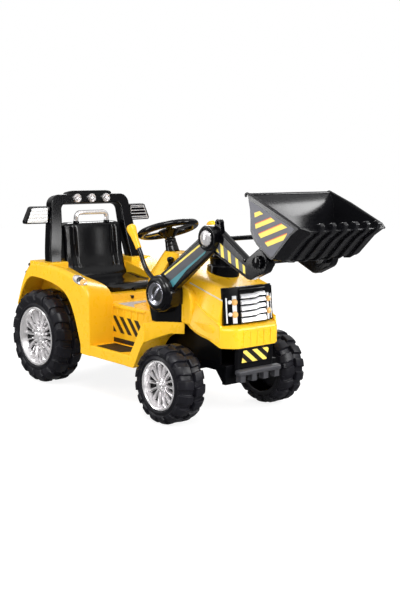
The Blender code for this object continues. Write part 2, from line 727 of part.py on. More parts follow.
def nose_skirt():
    """The lower nose, open above and below, with its bottom edge rising to the rear."""
    half = [(0.646, 0.1285), (0.745, 0.1265), (0.780, 0.118), (0.808, 0.094), (0.821, 0.078)]
    inner = [(0.640, 0.1245), (0.744, 0.1225), (0.777, 0.1145), (0.804, 0.091), (0.816, 0.074)]
    obj = plan_plate("nose_skirt", [both_ways(half)], 0.227, HOOD_LOW_Z)
    hollow = plan_plate("nose_hollow", [both_ways(inner)], 0.20, HOOD_LOW_Z - SKIN)
    rise = side_plate("nose_rise", [[
        (0.60, 0.20), (0.60, 0.2905), (0.646, 0.2865), (0.669, 0.271), (0.722, 0.253), (0.778, 0.233),
        (0.800, 0.20),
    ]], -0.14, 0.14)
    window = box("nose_window", (0.60, -0.08, 0.27), (0.76, 0.08, 0.32))
    soften(obj, 0.0032)
    cut(obj, hollow, rise, window)
    return place(obj, DATUM, YELLOW)


GRILLE_TILT = math.radians(6)
GRILLE_FOOT = (0.8025, 0.2955)
LOUVRES = 5
LOUVRE_PITCH = 0.0176


def lean(obj, x, z):
    """Leans a front piece back about the Y axis through that point."""
    obj.matrix_basis = (Matrix.Translation((x, 0, z)) @ Matrix.Rotation(-GRILLE_TILT, 4, "Y")
                        @ Matrix.Translation((-x, 0, -z)) @ obj.matrix_basis)
    return obj


def grille():
    """Black surround, chrome louvres and four round lamps."""
    half = [(0.7785, 0.0975), (0.784, 0.0975), (0.8025, 0.053), (0.8025, 0.0)]
    frame = plan_plate("grille_frame", [half + [(x, -y) for x, y in reversed(half[:-1])]], 0.2963, 0.3990)
    lean(frame, *GRILLE_FOOT)
    pocket = lean(box("grille_pocket", (0.795, -0.0505, 0.2975), (0.82, 0.0505, 0.386)), *GRILLE_FOOT)
    trim = box("grille_back_trim", (0.70, -0.15, 0.28), (0.7743, 0.15, 0.42))
    cut(frame, pocket, trim)
    place(frame, DATUM, BLACK_GLOSS)

    louvres = lean(box("grille_bars", (0.7955, -0.0492, 0.3000), (0.7985, 0.0492, 0.3835)), *GRILLE_FOOT)
    for i in range(LOUVRES):
        low = 0.2983 + i * LOUVRE_PITCH
        bar = soften(box("louvre", (0.7970, -0.0500, low), (0.8105, 0.0500, low + 0.0140)), 0.003)
        unite(louvres, lean(bar, *GRILLE_FOOT))
    place(louvres, DATUM, CHROME)

    for word, side in SIDES:
        outward = Vector((0.0445, side * 0.0185, 0)).normalized()
        turn = Vector((1, 0, 0)).rotation_difference(outward).to_matrix().to_4x4()
        foot = Vector(((0.8025 + 0.784) / 2, side * (0.053 + 0.0975) / 2, 0.346))
        on_face = Matrix.Translation(foot + outward * 0.0004) @ turn
        strip = box(f"grille_lamp_{word}", (0, -0.0065, -0.030), (0.002, 0.0065, 0.030))
        strip.matrix_basis = on_face
        for z in (-0.018, 0.018):
            lamp = rod("grille_lamp_lens", 0.0095, (0.0005, 0, z), (0.009, 0, z), 12, 0.007)
            lamp.matrix_basis = on_face
            unite(strip, lean(lamp, *GRILLE_FOOT))
        place(lean(strip, *GRILLE_FOOT), DATUM, AMBER)


def front_bumper():
    """The black panel under the nose and the notched bar in front of it."""
    valance = plan_plate("front_valance", [both_ways([(0.804, 0.078), (0.8155, 0.072)])], 0.138, 0.2265)
    place(soften(valance, 0.003), DATUM, BLACK_SATIN)
    bar = box("bumper_bar", (0.8160, -0.086, 0.150), (0.842, 0.086, 0.166))
    soften(bar, 0.004)
    for y in (-0.070, -0.0235, 0.0235, 0.070):
        unite(bar, box("bumper_tooth", (0.8175, y - 0.010, 0.130), (0.838, y + 0.010, 0.156)))
    place(bar, DATUM, GREY)


def air_cleaner():
    """The round stack on the hood, with a flange and a cap."""
    obj = turned("air_cleaner", [(0.0, 0.048), (0.038, 0.048), (0.044, 0.042), (0.044, 0.030), (0.039, 0.026),
                                 (0.039, 0.010), (0.049, 0.006), (0.049, -0.030), (0.0, -0.030)], 20)
    obj.location = (0.668, 0, 0.446)
    rest = [hood_section(x, a, HOOD_LOW_Z, b, c, d, -HOOD_REST_GAP) for x, a, b, c, d in HOOD_STATIONS]
    cut(obj, loft("hood_rest", rest))
    return place(obj, DATUM, BLACK_GLOSS, smooth=True)


DASH_STATIONS = (
    (TUNNEL_Z + GAP, 0.335, 0.562, 0.112, 0.112), (0.395, 0.3485, 0.562, 0.100, 0.110),
    (0.432, 0.372, 0.562, 0.066, 0.104), (0.474, 0.4035, 0.520, 0.036, 0.050),
)


def dash_section(z, rear, front, half, front_half, inset=0.0):
    """A plan of the console: a narrow rear face, rounded flanks and a front as wide as the hood."""
    scale = half / 0.112
    points = [(rear + inset, 0.020 * scale), (rear + 0.030 * scale + inset, 0.055 * scale - inset * 0.6),
              (rear + 0.075 * scale + inset * 0.6, 0.085 * scale - inset),
              (rear + 0.120 * scale, half * 0.93 - inset),
              (front - 0.030, half - inset), (front, front_half - inset)]
    return [(x, y, z) for x, y in points] + [(x, -y, z) for x, y in reversed(points)]


def dashboard():
    """The console ahead of the driver, from the tunnel up to the steering column."""
    obj = loft("dashboard", [dash_section(*station) for station in DASH_STATIONS])
    inner = []
    for i, (z, rear, front, half, front_half) in enumerate(DASH_STATIONS):
        drop = 0.05 if i == 0 else SKIN if i == len(DASH_STATIONS) - 1 else 0.002
        section = dash_section(z - drop, rear, front, half, front_half, SKIN)
        inner.append([(x if x < front - 0.001 else 0.600, y, z) for x, y, z in section])
    cut(obj, loft("dash_hollow", inner))
    collar = rod("dash_collar", 0.0225, column_point(0.020), column_point(0.095), 20)
    gear_slot = box("gear_slot", (0.474, -0.0730, 0.40), (0.512, -0.0490, 0.50))
    switch_hole = box("switch_hole", (0.33, -0.0110, 0.3655), (0.37, 0.0110, 0.3845))
    cut(obj, collar, gear_slot, switch_hole)
    return place(obj, DATUM, YELLOW)


def gear_lever():
    """The forward and reverse lever; it rocks about a pin under the dashboard."""
    foot = Vector((0.493, -0.061, 0.428))
    carrier = pivot("gear_lever_axis", foot, DATUM)
    obj = turned("gear_lever", [(0.0, 0.036), (0.008, 0.034), (0.011, 0.027), (0.009, 0.018), (0.005, 0.013),
                                (0.005, -0.010), (0.0, -0.010)], 16)
    obj.location = foot
    return place(obj, carrier, BLACK_GLOSS, smooth=True)


def power_button():
    """A square push switch in the console's rear face."""
    carrier = pivot("power_button_slide", (0.3480, 0, 0.375), DATUM)
    obj = box("power_button", (0.3415, -0.0105, 0.3660), (0.3580, 0.0105, 0.3840))
    return place(soften(obj, 0.002), carrier, BLACK_SATIN)


def foot_pedal():
    """The drive pedal in the left footwell, hinged at its heel."""
    heel = Vector((0.404, 0.185, FLOOR_Z + 0.0125))
    carrier = pivot("foot_pedal_axis", heel, DATUM)
    obj = side_plate("foot_pedal", [[
        (0.396, FLOOR_Z + 0.0075), (0.410, FLOOR_Z + 0.0075), (0.484, FLOOR_Z + 0.0340),
        (0.482, FLOOR_Z + 0.0400), (0.404, FLOOR_Z + 0.0190),
    ]], 0.162, 0.206)
    return place(soften(obj, 0.0015), carrier, BLACK_SATIN)


# Seat, roll bar and lamps
def seat():
    """The lift-up seat pan with its latch, and the fixed backrest with a carry handle."""
    carrier = pivot("seat_hinge", SEAT_HINGE, DATUM)
    pan = side_plate("seat_pan", [[
        (0.050, 0.3335), (0.205, 0.3280), (0.2285, 0.3245), (0.2300, 0.3360), (0.2215, 0.3455),
        (0.195, 0.3490), (0.130, 0.3480), (0.064, 0.3570), (0.042, 0.3570), (0.042, 0.3450),
    ]], -0.127, 0.127)
    for _, side in SIDES:
        cut(pan, plan_plate("pan_corner", [[
            (0.196, side * 0.130), (0.222, side * 0.105), (0.233, side * 0.070), (0.240, side * 0.070),
            (0.240, side * 0.130),
        ]], 0.30, 0.37))
    place(soften(pan, 0.004), carrier, BLACK_SATIN)

    latch_carrier = pivot("seat_latch_axis", (0.2305, 0, 0.3285), carrier)
    latch = rod("seat_latch", 0.0055, (0.2305, 0, 0.3285), (0.2375, 0, 0.3285), 14)
    place(latch, latch_carrier, BLACK_SATIN)

    top_half, low_half, height = 0.110, 0.115, 0.169
    outline = mirrored_yz([(low_half, 0.0), (top_half, height * 0.6), (top_half, height - 0.014),
                           (top_half - 0.014, height)])
    back = front_plate("seat_back", [outline], 0.036)
    back.matrix_basis = Matrix.Translation((0.0163, 0, 0.368)) @ Matrix.Rotation(-BACK_LEAN, 4, "Y")
    deck_room = side_plate("deck_room", [[(-0.13, 0.25), (-0.13, DECK_Z + GAP), (0.0125, DECK_Z + GAP),
                                          (0.0245, 0.3303), (0.0245, 0.25)]], -0.14, 0.14)
    cut(soften(back, 0.005, 2), deck_room)
    place(back, DATUM, BLACK_GLOSS)

    foot, half, rise = Vector((-0.0134, 0, 0.5372)), 0.065, 0.033
    bend = [(half - 0.012 + 0.012 * math.cos(a), rise - 0.012 + 0.012 * math.sin(a))
            for a in (0, math.pi / 6, math.pi / 3, math.pi / 2)]
    path = [(0, y, z) for y, z in mirrored_yz([(half, 0)] + bend)]
    handle = tube("seat_handle", path, 0.0068)
    handle.location = foot
    place(handle, DATUM, CHROME, smooth=True)


def roll_bar():
    """The hoop behind the seat, leaning back, with its legs spread at the foot."""
    outer = [(0.192, 0.0), (0.187, 0.060), (0.164, 0.190)]
    outer += [(0.1640 - 0.036 + 0.036 * math.cos(a), 0.1985 + 0.036 * math.sin(a))
              for a in (math.radians(20), math.radians(45), math.radians(70), math.radians(90))]
    inner = [(0.127 - 0.020 + 0.020 * math.cos(a), 0.182 + 0.020 * math.sin(a))
             for a in (math.radians(90), math.radians(45), 0.0)]
    inner += [(0.134, 0.110), (0.151, 0.0)]
    left_inner = [(-y, z) for y, z in reversed(inner)]
    left_outer = [(-y, z) for y, z in reversed(outer)]
    obj = front_plate("roll_bar", [outer + left_outer + left_inner + inner], ROLL_DEPTH)
    obj.matrix_basis = Matrix.Translation(ROLL_FOOT) @ Matrix.Rotation(-ROLL_LEAN, 4, "Y")
    foot_trim = box("roll_bar_foot_trim", (-0.1, -0.3, 0.35), (0.1, 0.3, ROLL_PAD_Z + 0.0004))
    soften(obj, 0.007, 2)
    cut(obj, foot_trim)
    place(obj, DATUM, BLACK_GLOSS)
    top = ROLL_FOOT + Vector((-math.sin(ROLL_LEAN), 0, math.cos(ROLL_LEAN))) * 0.2345
    return top


def lamps(top):
    """The lamp bar on the hoop, three round lamps, and a lamp on each side of the hoop."""
    bar = front_plate("light_bar", [mirrored_yz([(0.094, 0.0003), (0.090, 0.010), (0.070, 0.0125)])], 0.030)
    bar.matrix_basis = Matrix.Translation(top) @ Matrix.Rotation(-ROLL_LEAN, 4, "Y")
    place(soften(bar, 0.002), DATUM, BLACK_GLOSS)

    face = Matrix.Translation(top) @ Matrix.Rotation(-ROLL_LEAN, 4, "Y")
    strip = box("roof_lamps", (ROLL_DEPTH / 2 + GAP, -0.075, -0.027), (ROLL_DEPTH / 2 + 0.003, 0.075, -0.005))
    strip.matrix_basis = face
    for y in (-0.061, 0.0, 0.061):
        bulb = turned("roof_lamp", [(0, 0.014), (0.008, 0.012), (0.013, 0.010), (0.013, 0), (0, 0)], 12)
        bulb.matrix_basis = (face @ Matrix.Translation((ROLL_DEPTH / 2 + 0.001, y, -0.016))
                             @ Matrix.Rotation(math.pi / 2, 4, "Y"))
        unite(strip, bulb)
    place(strip, DATUM, CHROME)

    for word, side in SIDES:
        half = [(0.1755, 0.536), (0.262, 0.537), (0.264, 0.545), (0.242, 0.592), (0.236, 0.5945), (0.1665, 0.594)]
        outline = [(side * y, z) for y, z in half]
        housing = front_plate(f"side_lamp_{word}", [outline], 0.022)
        housing.location = (-0.030, 0, 0)
        place(soften(housing, 0.003), DATUM, BLACK_GLOSS)


# Loader
def xz(point):
    return (point.x, point.z)


def capsule(start, end, start_r, end_r, count=7):
    """The outline round two circles of unlike radius, as (x, z) points."""
    run = end - start
    heading = math.degrees(math.atan2(run.z, run.x))
    flare = math.degrees(math.asin((start_r - end_r) / run.length))
    return (arc(xz(start), start_r, heading + 90 - flare, heading + 270 + flare, count * 2)
            + arc(xz(end), end_r, heading - 90 + flare, heading + 90 - flare, count))


def arm_pedestals():
    """A stand on each front wing with the pivot pin that carries the boom."""
    for word, side in SIDES:
        outline = ([(0.558, WING_TOP_Z + GAP), (0.636, WING_TOP_Z + GAP)]
                   + arc(xz(LIFT), 0.050, 5, 175, 9))
        obj = side_plate(f"arm_pedestal_{word}", [outline], side * PEDESTAL_IN, side * (FOREARM_OUT - GAP))
        foot = box("pedestal_foot", (0.5485, min(side * 0.132, side * 0.180), WING_TOP_Z + GAP),
                   (0.612, max(side * 0.132, side * 0.180), 0.3125))
        trim = plan_plate("pedestal_trim", [[
            (0.562, side * 0.24), (0.566, side * 0.2), (0.580, side * 0.180), (0.640, side * 0.1245),
            (0.70, side * 0.12), (0.70, side * 0.24),
        ]], 0.2, 0.3130)
        pin = rod("boom_pivot_pin", 0.012, (LIFT.x, side * 0.140, LIFT.z), (LIFT.x, side * 0.172, LIFT.z))
        unite(obj, foot)
        cut(obj, trim)
        unite(obj, pin)
        place(obj, DATUM, BLACK_SATIN)


BOOM_SHIFT = Vector((0, 0, 0.017))
LEVER_Y = 0.165
LEVER_PATH = ((0.553, 0.395), (0.5432, 0.4035), (0.521, 0.419), (0.503, 0.434), (0.488, 0.455),
              (0.476, 0.478), (0.4665, 0.4925))
GRIP_FOOT = Vector((0.4661, 0, 0.4932))
GRIP_TOP = Vector((0.4225, 0, 0.5610))


def booms(carrier):
    """The two lower arms; each ends in a round housing with a lamp, and carries a hand lever."""
    for word, side in SIDES:
        beam = capsule(LIFT + BOOM_SHIFT, ELBOW - BOOM_SHIFT, 0.034, 0.032)
        obj = side_plate(f"boom_{word}", [beam], side * (FOREARM_OUT + GAP), side * BOOM_OUT)
        for vertex in obj.data.vertices:
            if abs(vertex.co.y) > (FOREARM_OUT + BOOM_OUT) / 2:
                along = (vertex.co.x - LIFT.x) / (ELBOW.x - LIFT.x)
                vertex.co.y = side * (BOOM_OUT + (ELBOW_OUT - BOOM_OUT) * along)
        housing = rod("boom_housing", BASE_R, (LIFT.x, side * (FOREARM_OUT + 0.0008), LIFT.z),
                      (LIFT.x, side * HOUSING_OUT, LIFT.z), 22, 0.050)
        end = rod("boom_end", ELBOW_R, (ELBOW.x, side * (FOREARM_OUT + 0.0005), ELBOW.z),
                  (ELBOW.x, side * (ELBOW_OUT + 0.0034), ELBOW.z), 18)
        end_bore = rod("boom_end_bore", 0.009, (ELBOW.x, side * 0.1, ELBOW.z), (ELBOW.x, side * 0.2, ELBOW.z))
        bore = rod("boom_bore", 0.0127, (LIFT.x, side * 0.1, LIFT.z), (LIFT.x, side * 0.1726, LIFT.z))
        lever = tube("control_lever", [(x, side * LEVER_Y, z) for x, z in LEVER_PATH], 0.0070)
        unite(obj, housing, end, lever)
        cut(obj, bore, end_bore)
        place(obj, carrier, BLACK_GLOSS)

    for word, side in SIDES:
        lamp = turned(f"pivot_lamp_{word}", [(0.0, 0.0035), (0.031, 0.0065), (0.0425, 0.0), (0.0, 0.0)], 20)
        across_y(lamp, side, (LIFT.x, side * (HOUSING_OUT + GAP), LIFT.z))
        place(lamp, carrier, CHROME)

        run = GRIP_TOP - GRIP_FOOT
        long = run.length
        grip = turned(f"lever_grip_{word}", [
            (0.0, long), (0.013, long - 0.001), (0.0165, long - 0.009), (0.0150, long - 0.022),
            (0.0095, long - 0.055), (0.0090, 0.0), (0.0, 0.0),
        ], 14)
        turn = Vector((0, 0, 1)).rotation_difference(run).to_matrix().to_4x4()
        grip.matrix_basis = Matrix.Translation((GRIP_FOOT.x, side * LEVER_Y, GRIP_FOOT.z)) @ turn
        place(grip, carrier, YELLOW, smooth=True)


FOREARM_LOW = (0.922, 0.446)
FOREARM_INNER = (0.912, 0.500)
EAR = (0.797, 0.592)
CROSS_TUBE = (0.812, 0.548)


def forearms(carrier):
    """The two upper arms, bent near the wrist, and the tube that ties them together."""
    for word, side in SIDES:
        outline = (arc(xz(ELBOW), ELBOW_R, 75, 250, 9) + [(0.779, 0.5085), FOREARM_LOW, (0.9310, 0.4455)]
                   + arc(xz(WRIST), WRIST_R, -50, 100, 8) + [FOREARM_INNER])
        holes = [circle(xz(ELBOW), 0.0090), circle(xz(WRIST), 0.0080)]
        obj = side_plate(f"forearm_{word}", [outline] + holes, side * FOREARM_IN, side * FOREARM_OUT)
        ear = side_plate("forearm_ear", [arc(EAR, 0.0115, -10, 190, 8) + [(0.776, 0.570), (0.815, 0.556)],
                                         circle(EAR, 0.0042, 10)], side * 0.130, side * 0.1455)
        unite(obj, ear)
        place(obj, carrier, BLACK_GLOSS)
    tie = rod("cross_tube", 0.0070, (CROSS_TUBE[0], -FOREARM_IN + GAP, CROSS_TUBE[1]),
              (CROSS_TUBE[0], FOREARM_IN - GAP, CROSS_TUBE[1]))
    place(tie, carrier, BLACK_GLOSS, smooth=True)

    for word, side in SIDES:
        pin = turned(f"elbow_pin_{word}", [(0.0, 0.009), (0.022, 0.009), (0.029, 0.0005), (0.0082, 0.0005),
                                           (0.0082, -0.0454), (0.0, -0.0454)], 16)
        across_y(pin, side, (ELBOW.x, side * (ELBOW_OUT + 0.0034), ELBOW.z))
        place(pin, carrier, CHROME)
    knob_in, knob_out = FOREARM_OUT + 0.0005, FOREARM_OUT + 0.010
    shaft = turned("wrist_shaft", [
        (0.0, knob_out), (0.017, knob_out), (0.017, knob_in), (0.0071, knob_in),
        (0.0071, -knob_in), (0.017, -knob_in), (0.017, -knob_out), (0.0, -knob_out),
    ], 14)
    place(across_y(shaft, 1, WRIST), carrier, BLACK_SATIN)


BUCKET_SIDE = [
    (0.936, 0.681), (0.949, 0.640), (0.951, 0.582), (0.977, 0.546), (1.024, 0.514), (1.050, 0.508),
    (1.070, 0.516), (1.122, 0.570), (1.152, 0.591),
]
TOOTH_TIP = [(1.161, 0.600), (1.162, 0.610), (1.152, 0.6135), (1.140, 0.605)]
TOOTH_PITCH = 0.0456
RIB_START = (1.055, 0.510)


def inset_outline(points, distance):
    """Moves an open outline to its left by the distance, point by point."""
    moved = []
    for i, point in enumerate(points):
        before = Vector(points[max(i - 1, 0)])
        after = Vector(points[min(i + 1, len(points) - 1)])
        run = (after - before).normalized()
        moved.append((point[0] - run.y * distance, point[1] + run.x * distance))
    return moved


def bucket(carrier):
    """An open scoop with ribbed floor, six teeth and two lugs for the wrist pins."""
    inside = inset_outline(BUCKET_SIDE, BUCKET_WALL)
    shell = side_plate("bucket", [BUCKET_SIDE], -BUCKET_HALF, BUCKET_HALF)
    room = [(0.90, 0.75), (0.935, 0.70)] + inside + [(1.20, 0.62), (1.20, 0.75)]
    scoop = side_plate("bucket_inside", [room], -BUCKET_HALF + BUCKET_WALL, BUCKET_HALF - BUCKET_WALL)
    for _, side in SIDES:
        outline = arc(xz(WRIST), 0.019, 110, 350, 9) + [(1.020, 0.5165), (0.978, 0.5475), (0.953, 0.582)]
        lug = side_plate("bucket_lug", [outline], side * LUG_IN, side * (FOREARM_IN - GAP))
        unite(shell, lug)
    cut(shell, scoop)
    floor = [RIB_START] + BUCKET_SIDE[6:]
    rib = inset_outline(floor, -0.007) + TOOTH_TIP + list(reversed(inset_outline(floor, BUCKET_WALL / 2)))
    for i in range(TEETH):
        y = (i - (TEETH - 1) / 2) * TOOTH_PITCH
        unite(shell, side_plate("bucket_tooth", [rib], y - 0.0065, y + 0.0065))
    for _, side in SIDES:
        cut(shell, rod("lug_bore", 0.0080, (WRIST.x, side * 0.09, WRIST.z), (WRIST.x, side * 0.13, WRIST.z)))
    place(shell, carrier, BLACK_SATIN)


def main():
    chassis_frame()
    rear_axle()
    gear_motors()
    battery()
    control_box()
    front_axle_beam()
    rear_wheels()
    front_wheels(steering_knuckles())
    tie_rod()
    steering_column()
    steering(pivot("steering_axis", WHEEL_CENTRE, DATUM))
    body_shell()
    hood()
    nose_skirt()
    grille()
    front_bumper()
    air_cleaner()
    dashboard()
    gear_lever()
    power_button()
    foot_pedal()
    seat()
    lamps(roll_bar())
    arm_pedestals()
    lift = pivot("loader_lift_axis", LIFT, DATUM)
    booms(lift)
    elbow = pivot("loader_elbow_axis", ELBOW, lift)
    forearms(elbow)
    bucket(pivot("bucket_tilt_axis", WRIST, elbow))


main()
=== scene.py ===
"""Looks of the kids electric ride-on loader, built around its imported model.

Units are metres. Places are given in the vehicle's own frame, whose origin is on the ground
under the rear axle, with +X forward, +Y to the vehicle's left and +Z up. A finished mesh is
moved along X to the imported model's frame, so that its object sits at the origin.
"""
import json
import math

import bmesh
import bpy
from mathutils import Matrix, Vector

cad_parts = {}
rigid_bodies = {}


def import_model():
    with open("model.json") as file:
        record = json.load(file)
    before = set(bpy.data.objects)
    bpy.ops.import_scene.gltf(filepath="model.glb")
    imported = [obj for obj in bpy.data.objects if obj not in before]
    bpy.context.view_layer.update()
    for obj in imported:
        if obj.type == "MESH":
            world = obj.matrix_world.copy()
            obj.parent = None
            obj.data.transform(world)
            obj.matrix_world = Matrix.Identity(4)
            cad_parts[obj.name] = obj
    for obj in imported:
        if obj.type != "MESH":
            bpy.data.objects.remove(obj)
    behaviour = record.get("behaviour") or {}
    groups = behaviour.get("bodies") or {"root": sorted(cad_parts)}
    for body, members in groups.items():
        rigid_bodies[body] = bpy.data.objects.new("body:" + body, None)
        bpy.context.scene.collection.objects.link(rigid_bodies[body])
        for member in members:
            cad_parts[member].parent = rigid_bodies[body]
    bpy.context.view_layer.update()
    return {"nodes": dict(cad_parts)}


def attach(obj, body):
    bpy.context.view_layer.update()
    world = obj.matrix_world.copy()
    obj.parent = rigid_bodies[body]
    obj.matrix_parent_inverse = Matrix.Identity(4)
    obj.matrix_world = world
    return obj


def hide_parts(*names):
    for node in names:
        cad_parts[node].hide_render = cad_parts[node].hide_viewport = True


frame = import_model()
nodes = frame["nodes"]

DATUM_X = -0.50225
SIDES = (("left", 1), ("right", -1))
WALL = 0.0065

# Wheels: radius, hub radius, width, outer face, axle x
REAR_WHEEL = (0.1575, 0.1005, 0.104, 0.2445, 0.0)
FRONT_WHEEL = (0.116, 0.074, 0.1, 0.258, 0.672)
LUGS = 16
LUG_DEPTH = 0.009
AXLE_BORE = 0.0066

# Steering
COLUMN_TILT = math.radians(20)
WHEEL_CENTRE = Vector((0.406, 0.0, 0.54))
RIM_R = 0.0885
RIM_TUBE = 0.0115

# Body
HALF_WIDTH = 0.225
BOX_HALF = 0.134
ARCH_IN = 0.1365
FLOOR_HALF = 0.2242
WING_HALF = 0.2235
WING_TOP_Z = 0.2843
FLOOR_Z = 0.172
SILL_Z = 0.137
DECK_Z = 0.392
PAD_Z = 0.4
TUNNEL_Z = 0.298
TUNNEL_OUT = 0.132
HOOD_LOW_Z = 0.293

# Roll bar
ROLL_LEAN = math.radians(10.5)
ROLL_FOOT = Vector((0.006, 0.0, 0.4005))
ROLL_DEPTH = 0.034

# Loader
LIFT = Vector((0.587, 0.0, 0.369))
ELBOW = Vector((0.77, 0.0, 0.548))
WRIST = Vector((0.962, 0.0, 0.497))
FOREARM_IN = 0.118
FOREARM_OUT = 0.146
BOOM_OUT = 0.178
ELBOW_OUT = 0.16
HOUSING_OUT = 0.1922
BUCKET_HALF = 0.168
LEVER_Y = 0.165


# Materials
CLOUD_SCALE = 16.0
SMEAR_SCALE = 55.0
GRAIN_SCALE = 260.0


def put(tree, socket, value):
    """Links a socket, or sets a number or colour."""
    if isinstance(value, bpy.types.NodeSocket):
        tree.links.new(value, socket)
    else:
        socket.default_value = value


def linked(tree, kind, **inputs):
    """A new node with its sockets set or linked."""
    node = tree.nodes.new(kind)
    for name, value in inputs.items():
        put(tree, node.inputs[name.replace("_", " ")], value)
    return node


def calc(tree, operation, *values):
    """The result of a Math node on numbers or sockets."""
    node = tree.nodes.new("ShaderNodeMath")
    node.operation = operation
    for socket, value in zip(node.inputs, values):
        put(tree, socket, value)
    return node.outputs[0]


def blend_colour(tree, factor, first, second):
    """A colour between a colour or socket and a second colour."""
    node = tree.nodes.new("ShaderNodeMix")
    node.data_type = "RGBA"
    put(tree, node.inputs["Factor"], factor)
    put(tree, node.inputs[6], (*first, 1.0) if isinstance(first, tuple) else first)
    put(tree, node.inputs[7], (*second, 1.0))
    return node.outputs[2]


def noise(tree, place, scale, detail=2.0):
    return linked(tree, "ShaderNodeTexNoise", Vector=place, Scale=scale, Detail=detail).outputs["Fac"]


def remap(tree, value, start, end, low, high):
    """Maps a value from one range onto another."""
    return linked(tree, "ShaderNodeMapRange", Value=value, From_Min=start, From_Max=end, To_Min=low,
                  To_Max=high)


def spread(tree, value, low, high):
    """Maps a noise value onto the range from low to high."""
    return remap(tree, value, 0.3, 0.7, low, high).outputs[0]


def plastic(name, colour, rough, specular=0.5, metallic=0.0, mottle=0.05, grain=0.012, coat=0.0,
            stripes=None):
    """A moulded or plated surface: cloudy colour, uneven gloss and a fine grain.

    Stripes are bands across a direction: (direction, pitch, share, offset, second colour).
    """
    made = bpy.data.materials.new(name)
    made.use_nodes = True
    tree = made.node_tree
    shader = tree.nodes["Principled BSDF"].inputs
    place = tree.nodes.new("ShaderNodeTexCoord").outputs["Object"]
    cloud = spread(tree, noise(tree, place, CLOUD_SCALE, 3.0), 0.0, 1.0)
    shade = [tuple(c * (1 + mottle * sign) for c in colour) for sign in (-1, 1)]
    tint = blend_colour(tree, cloud, *shade)
    if stripes:
        way, pitch, share, offset, second = stripes
        dot = linked(tree, "ShaderNodeVectorMath", Vector=place)
        dot.operation = "DOT_PRODUCT"
        dot.inputs[1].default_value = way
        turns = calc(tree, "ADD", calc(tree, "DIVIDE", dot.outputs["Value"], pitch), offset)
        band = calc(tree, "FRACT", turns)
        tint = blend_colour(tree, calc(tree, "LESS_THAN", band, share), tint, second)
    smear = spread(tree, noise(tree, place, SMEAR_SCALE, 4.0), rough * 0.95, rough * 1.05)
    height = noise(tree, place, GRAIN_SCALE)
    bump = linked(tree, "ShaderNodeBump", Height=height, Strength=grain, Distance=0.0006)
    for socket, value in (("Base Color", tint), ("Roughness", smear), ("Metallic", metallic),
                          ("Specular IOR Level", specular), ("Coat Weight", coat), ("Coat Roughness", 0.08),
                          ("Normal", bump.outputs[0])):
        put(tree, shader[socket], value)
    return made


def ribbed(name, colour, rough, pitch, depth):
    """A dark mat or grip with fine parallel ribs across X and Y."""
    made = plastic(name, colour, rough, specular=0.3, grain=0.0)
    tree = made.node_tree
    place = tree.nodes.new("ShaderNodeTexCoord").outputs["Object"]
    split = linked(tree, "ShaderNodeSeparateXYZ", Vector=place)
    turn = 2 * math.pi / pitch
    waves = [calc(tree, "SINE", calc(tree, "MULTIPLY", split.outputs[i], turn)) for i in (0, 1)]
    bump = linked(tree, "ShaderNodeBump", Height=calc(tree, "MULTIPLY", *waves), Strength=0.8, Distance=depth)
    put(tree, tree.nodes["Principled BSDF"].inputs["Normal"], bump.outputs[0])
    return made


HAZARD_YELLOW = (0.95, 0.72, 0.12)
HAZARD_BLACK = (0.01, 0.008, 0.008)
YELLOW = plastic("moulded_yellow", (0.96, 0.535, 0.016), 0.28, specular=0.4, mottle=0.02, grain=0.004)
GLOSS_BLACK = plastic("gloss_black", (0.0016, 0.0016, 0.0024), 0.15, specular=0.3, mottle=0.15)
ARM_BLACK = plastic("arm_black", (0.0026, 0.0026, 0.0036), 0.18, specular=0.34, mottle=0.15)
SATIN_BLACK = plastic("satin_black", (0.0018, 0.0018, 0.0026), 0.34, specular=0.2, mottle=0.15)
BUCKET_BLACK = plastic("bucket_black", (0.005, 0.005, 0.0062), 0.2, specular=0.46, mottle=0.2)
DARK_GREY = plastic("dark_grey", (0.05, 0.05, 0.056), 0.4, specular=0.4, mottle=0.1)
RUBBER = plastic("tyre_plastic", (0.0085, 0.0082, 0.0115), 0.36, specular=0.26, mottle=0.25, grain=0.05)
CHROME = plastic("chrome", (0.93, 0.91, 0.92), 0.14, metallic=0.66, mottle=0.04, grain=0.004)
LOUVRE_CHROME = plastic("louvre_chrome", (0.86, 0.86, 0.88), 0.36, metallic=0.55, mottle=0.04, grain=0.004)
SILVER = plastic("silver_lacquer", (0.5, 0.5, 0.56), 0.24, metallic=1.0, mottle=0.1)
STEEL = plastic("steel", (0.42, 0.43, 0.45), 0.34, metallic=1.0, mottle=0.12)
AMBER = plastic("amber_lens", (0.9, 0.5, 0.16), 0.16, specular=0.6, mottle=0.05, coat=0.4)
# White lens plastic; the same white also paints a highlight strip on each grille corner and a reflection in
# the right side lamp.
LENS_WHITE_AND_PAINTED_HIGHLIGHT = plastic("white_lens_and_painted_highlight", (0.8, 0.81, 0.82), 0.14, specular=0.6, mottle=0.05, coat=0.5)
STRIPE_SILVER = plastic("silver_stripe", (0.72, 0.66, 0.52), 0.3, metallic=0.3)
STICKER_YELLOW = plastic("sticker_yellow", HAZARD_YELLOW, 0.35)
STICKER_STEEL = plastic("sticker_grey", (0.062, 0.064, 0.074), 0.3, metallic=0.2, mottle=0.2)
STICKER_TEAL = plastic("sticker_teal", (0.045, 0.22, 0.26), 0.35, mottle=0.1)
STICKER_RED = plastic("sticker_red", (0.75, 0.13, 0.05), 0.35, mottle=0.1)
STICKER_PANEL = plastic("sticker_panel", (0.105, 0.11, 0.125), 0.38, mottle=0.1)
BUCKET_SIDE_GREY = plastic("bucket_side_grey", (0.115, 0.115, 0.135), 0.34, mottle=0.1)
STICKER_BLACK = plastic("sticker_black", HAZARD_BLACK, 0.35, mottle=0.1)
TREAD_PLATE = ribbed("tread_plate", (0.44, 0.42, 0.44), 0.35, 0.007, 0.001)
MAT_BLACK = ribbed("mat_black", (0.01, 0.009, 0.008), 0.45, 0.006, 0.0012)
MARKER_DARK = plastic("marker_dark", (0.02, 0.02, 0.02), 0.15, specular=0.6)


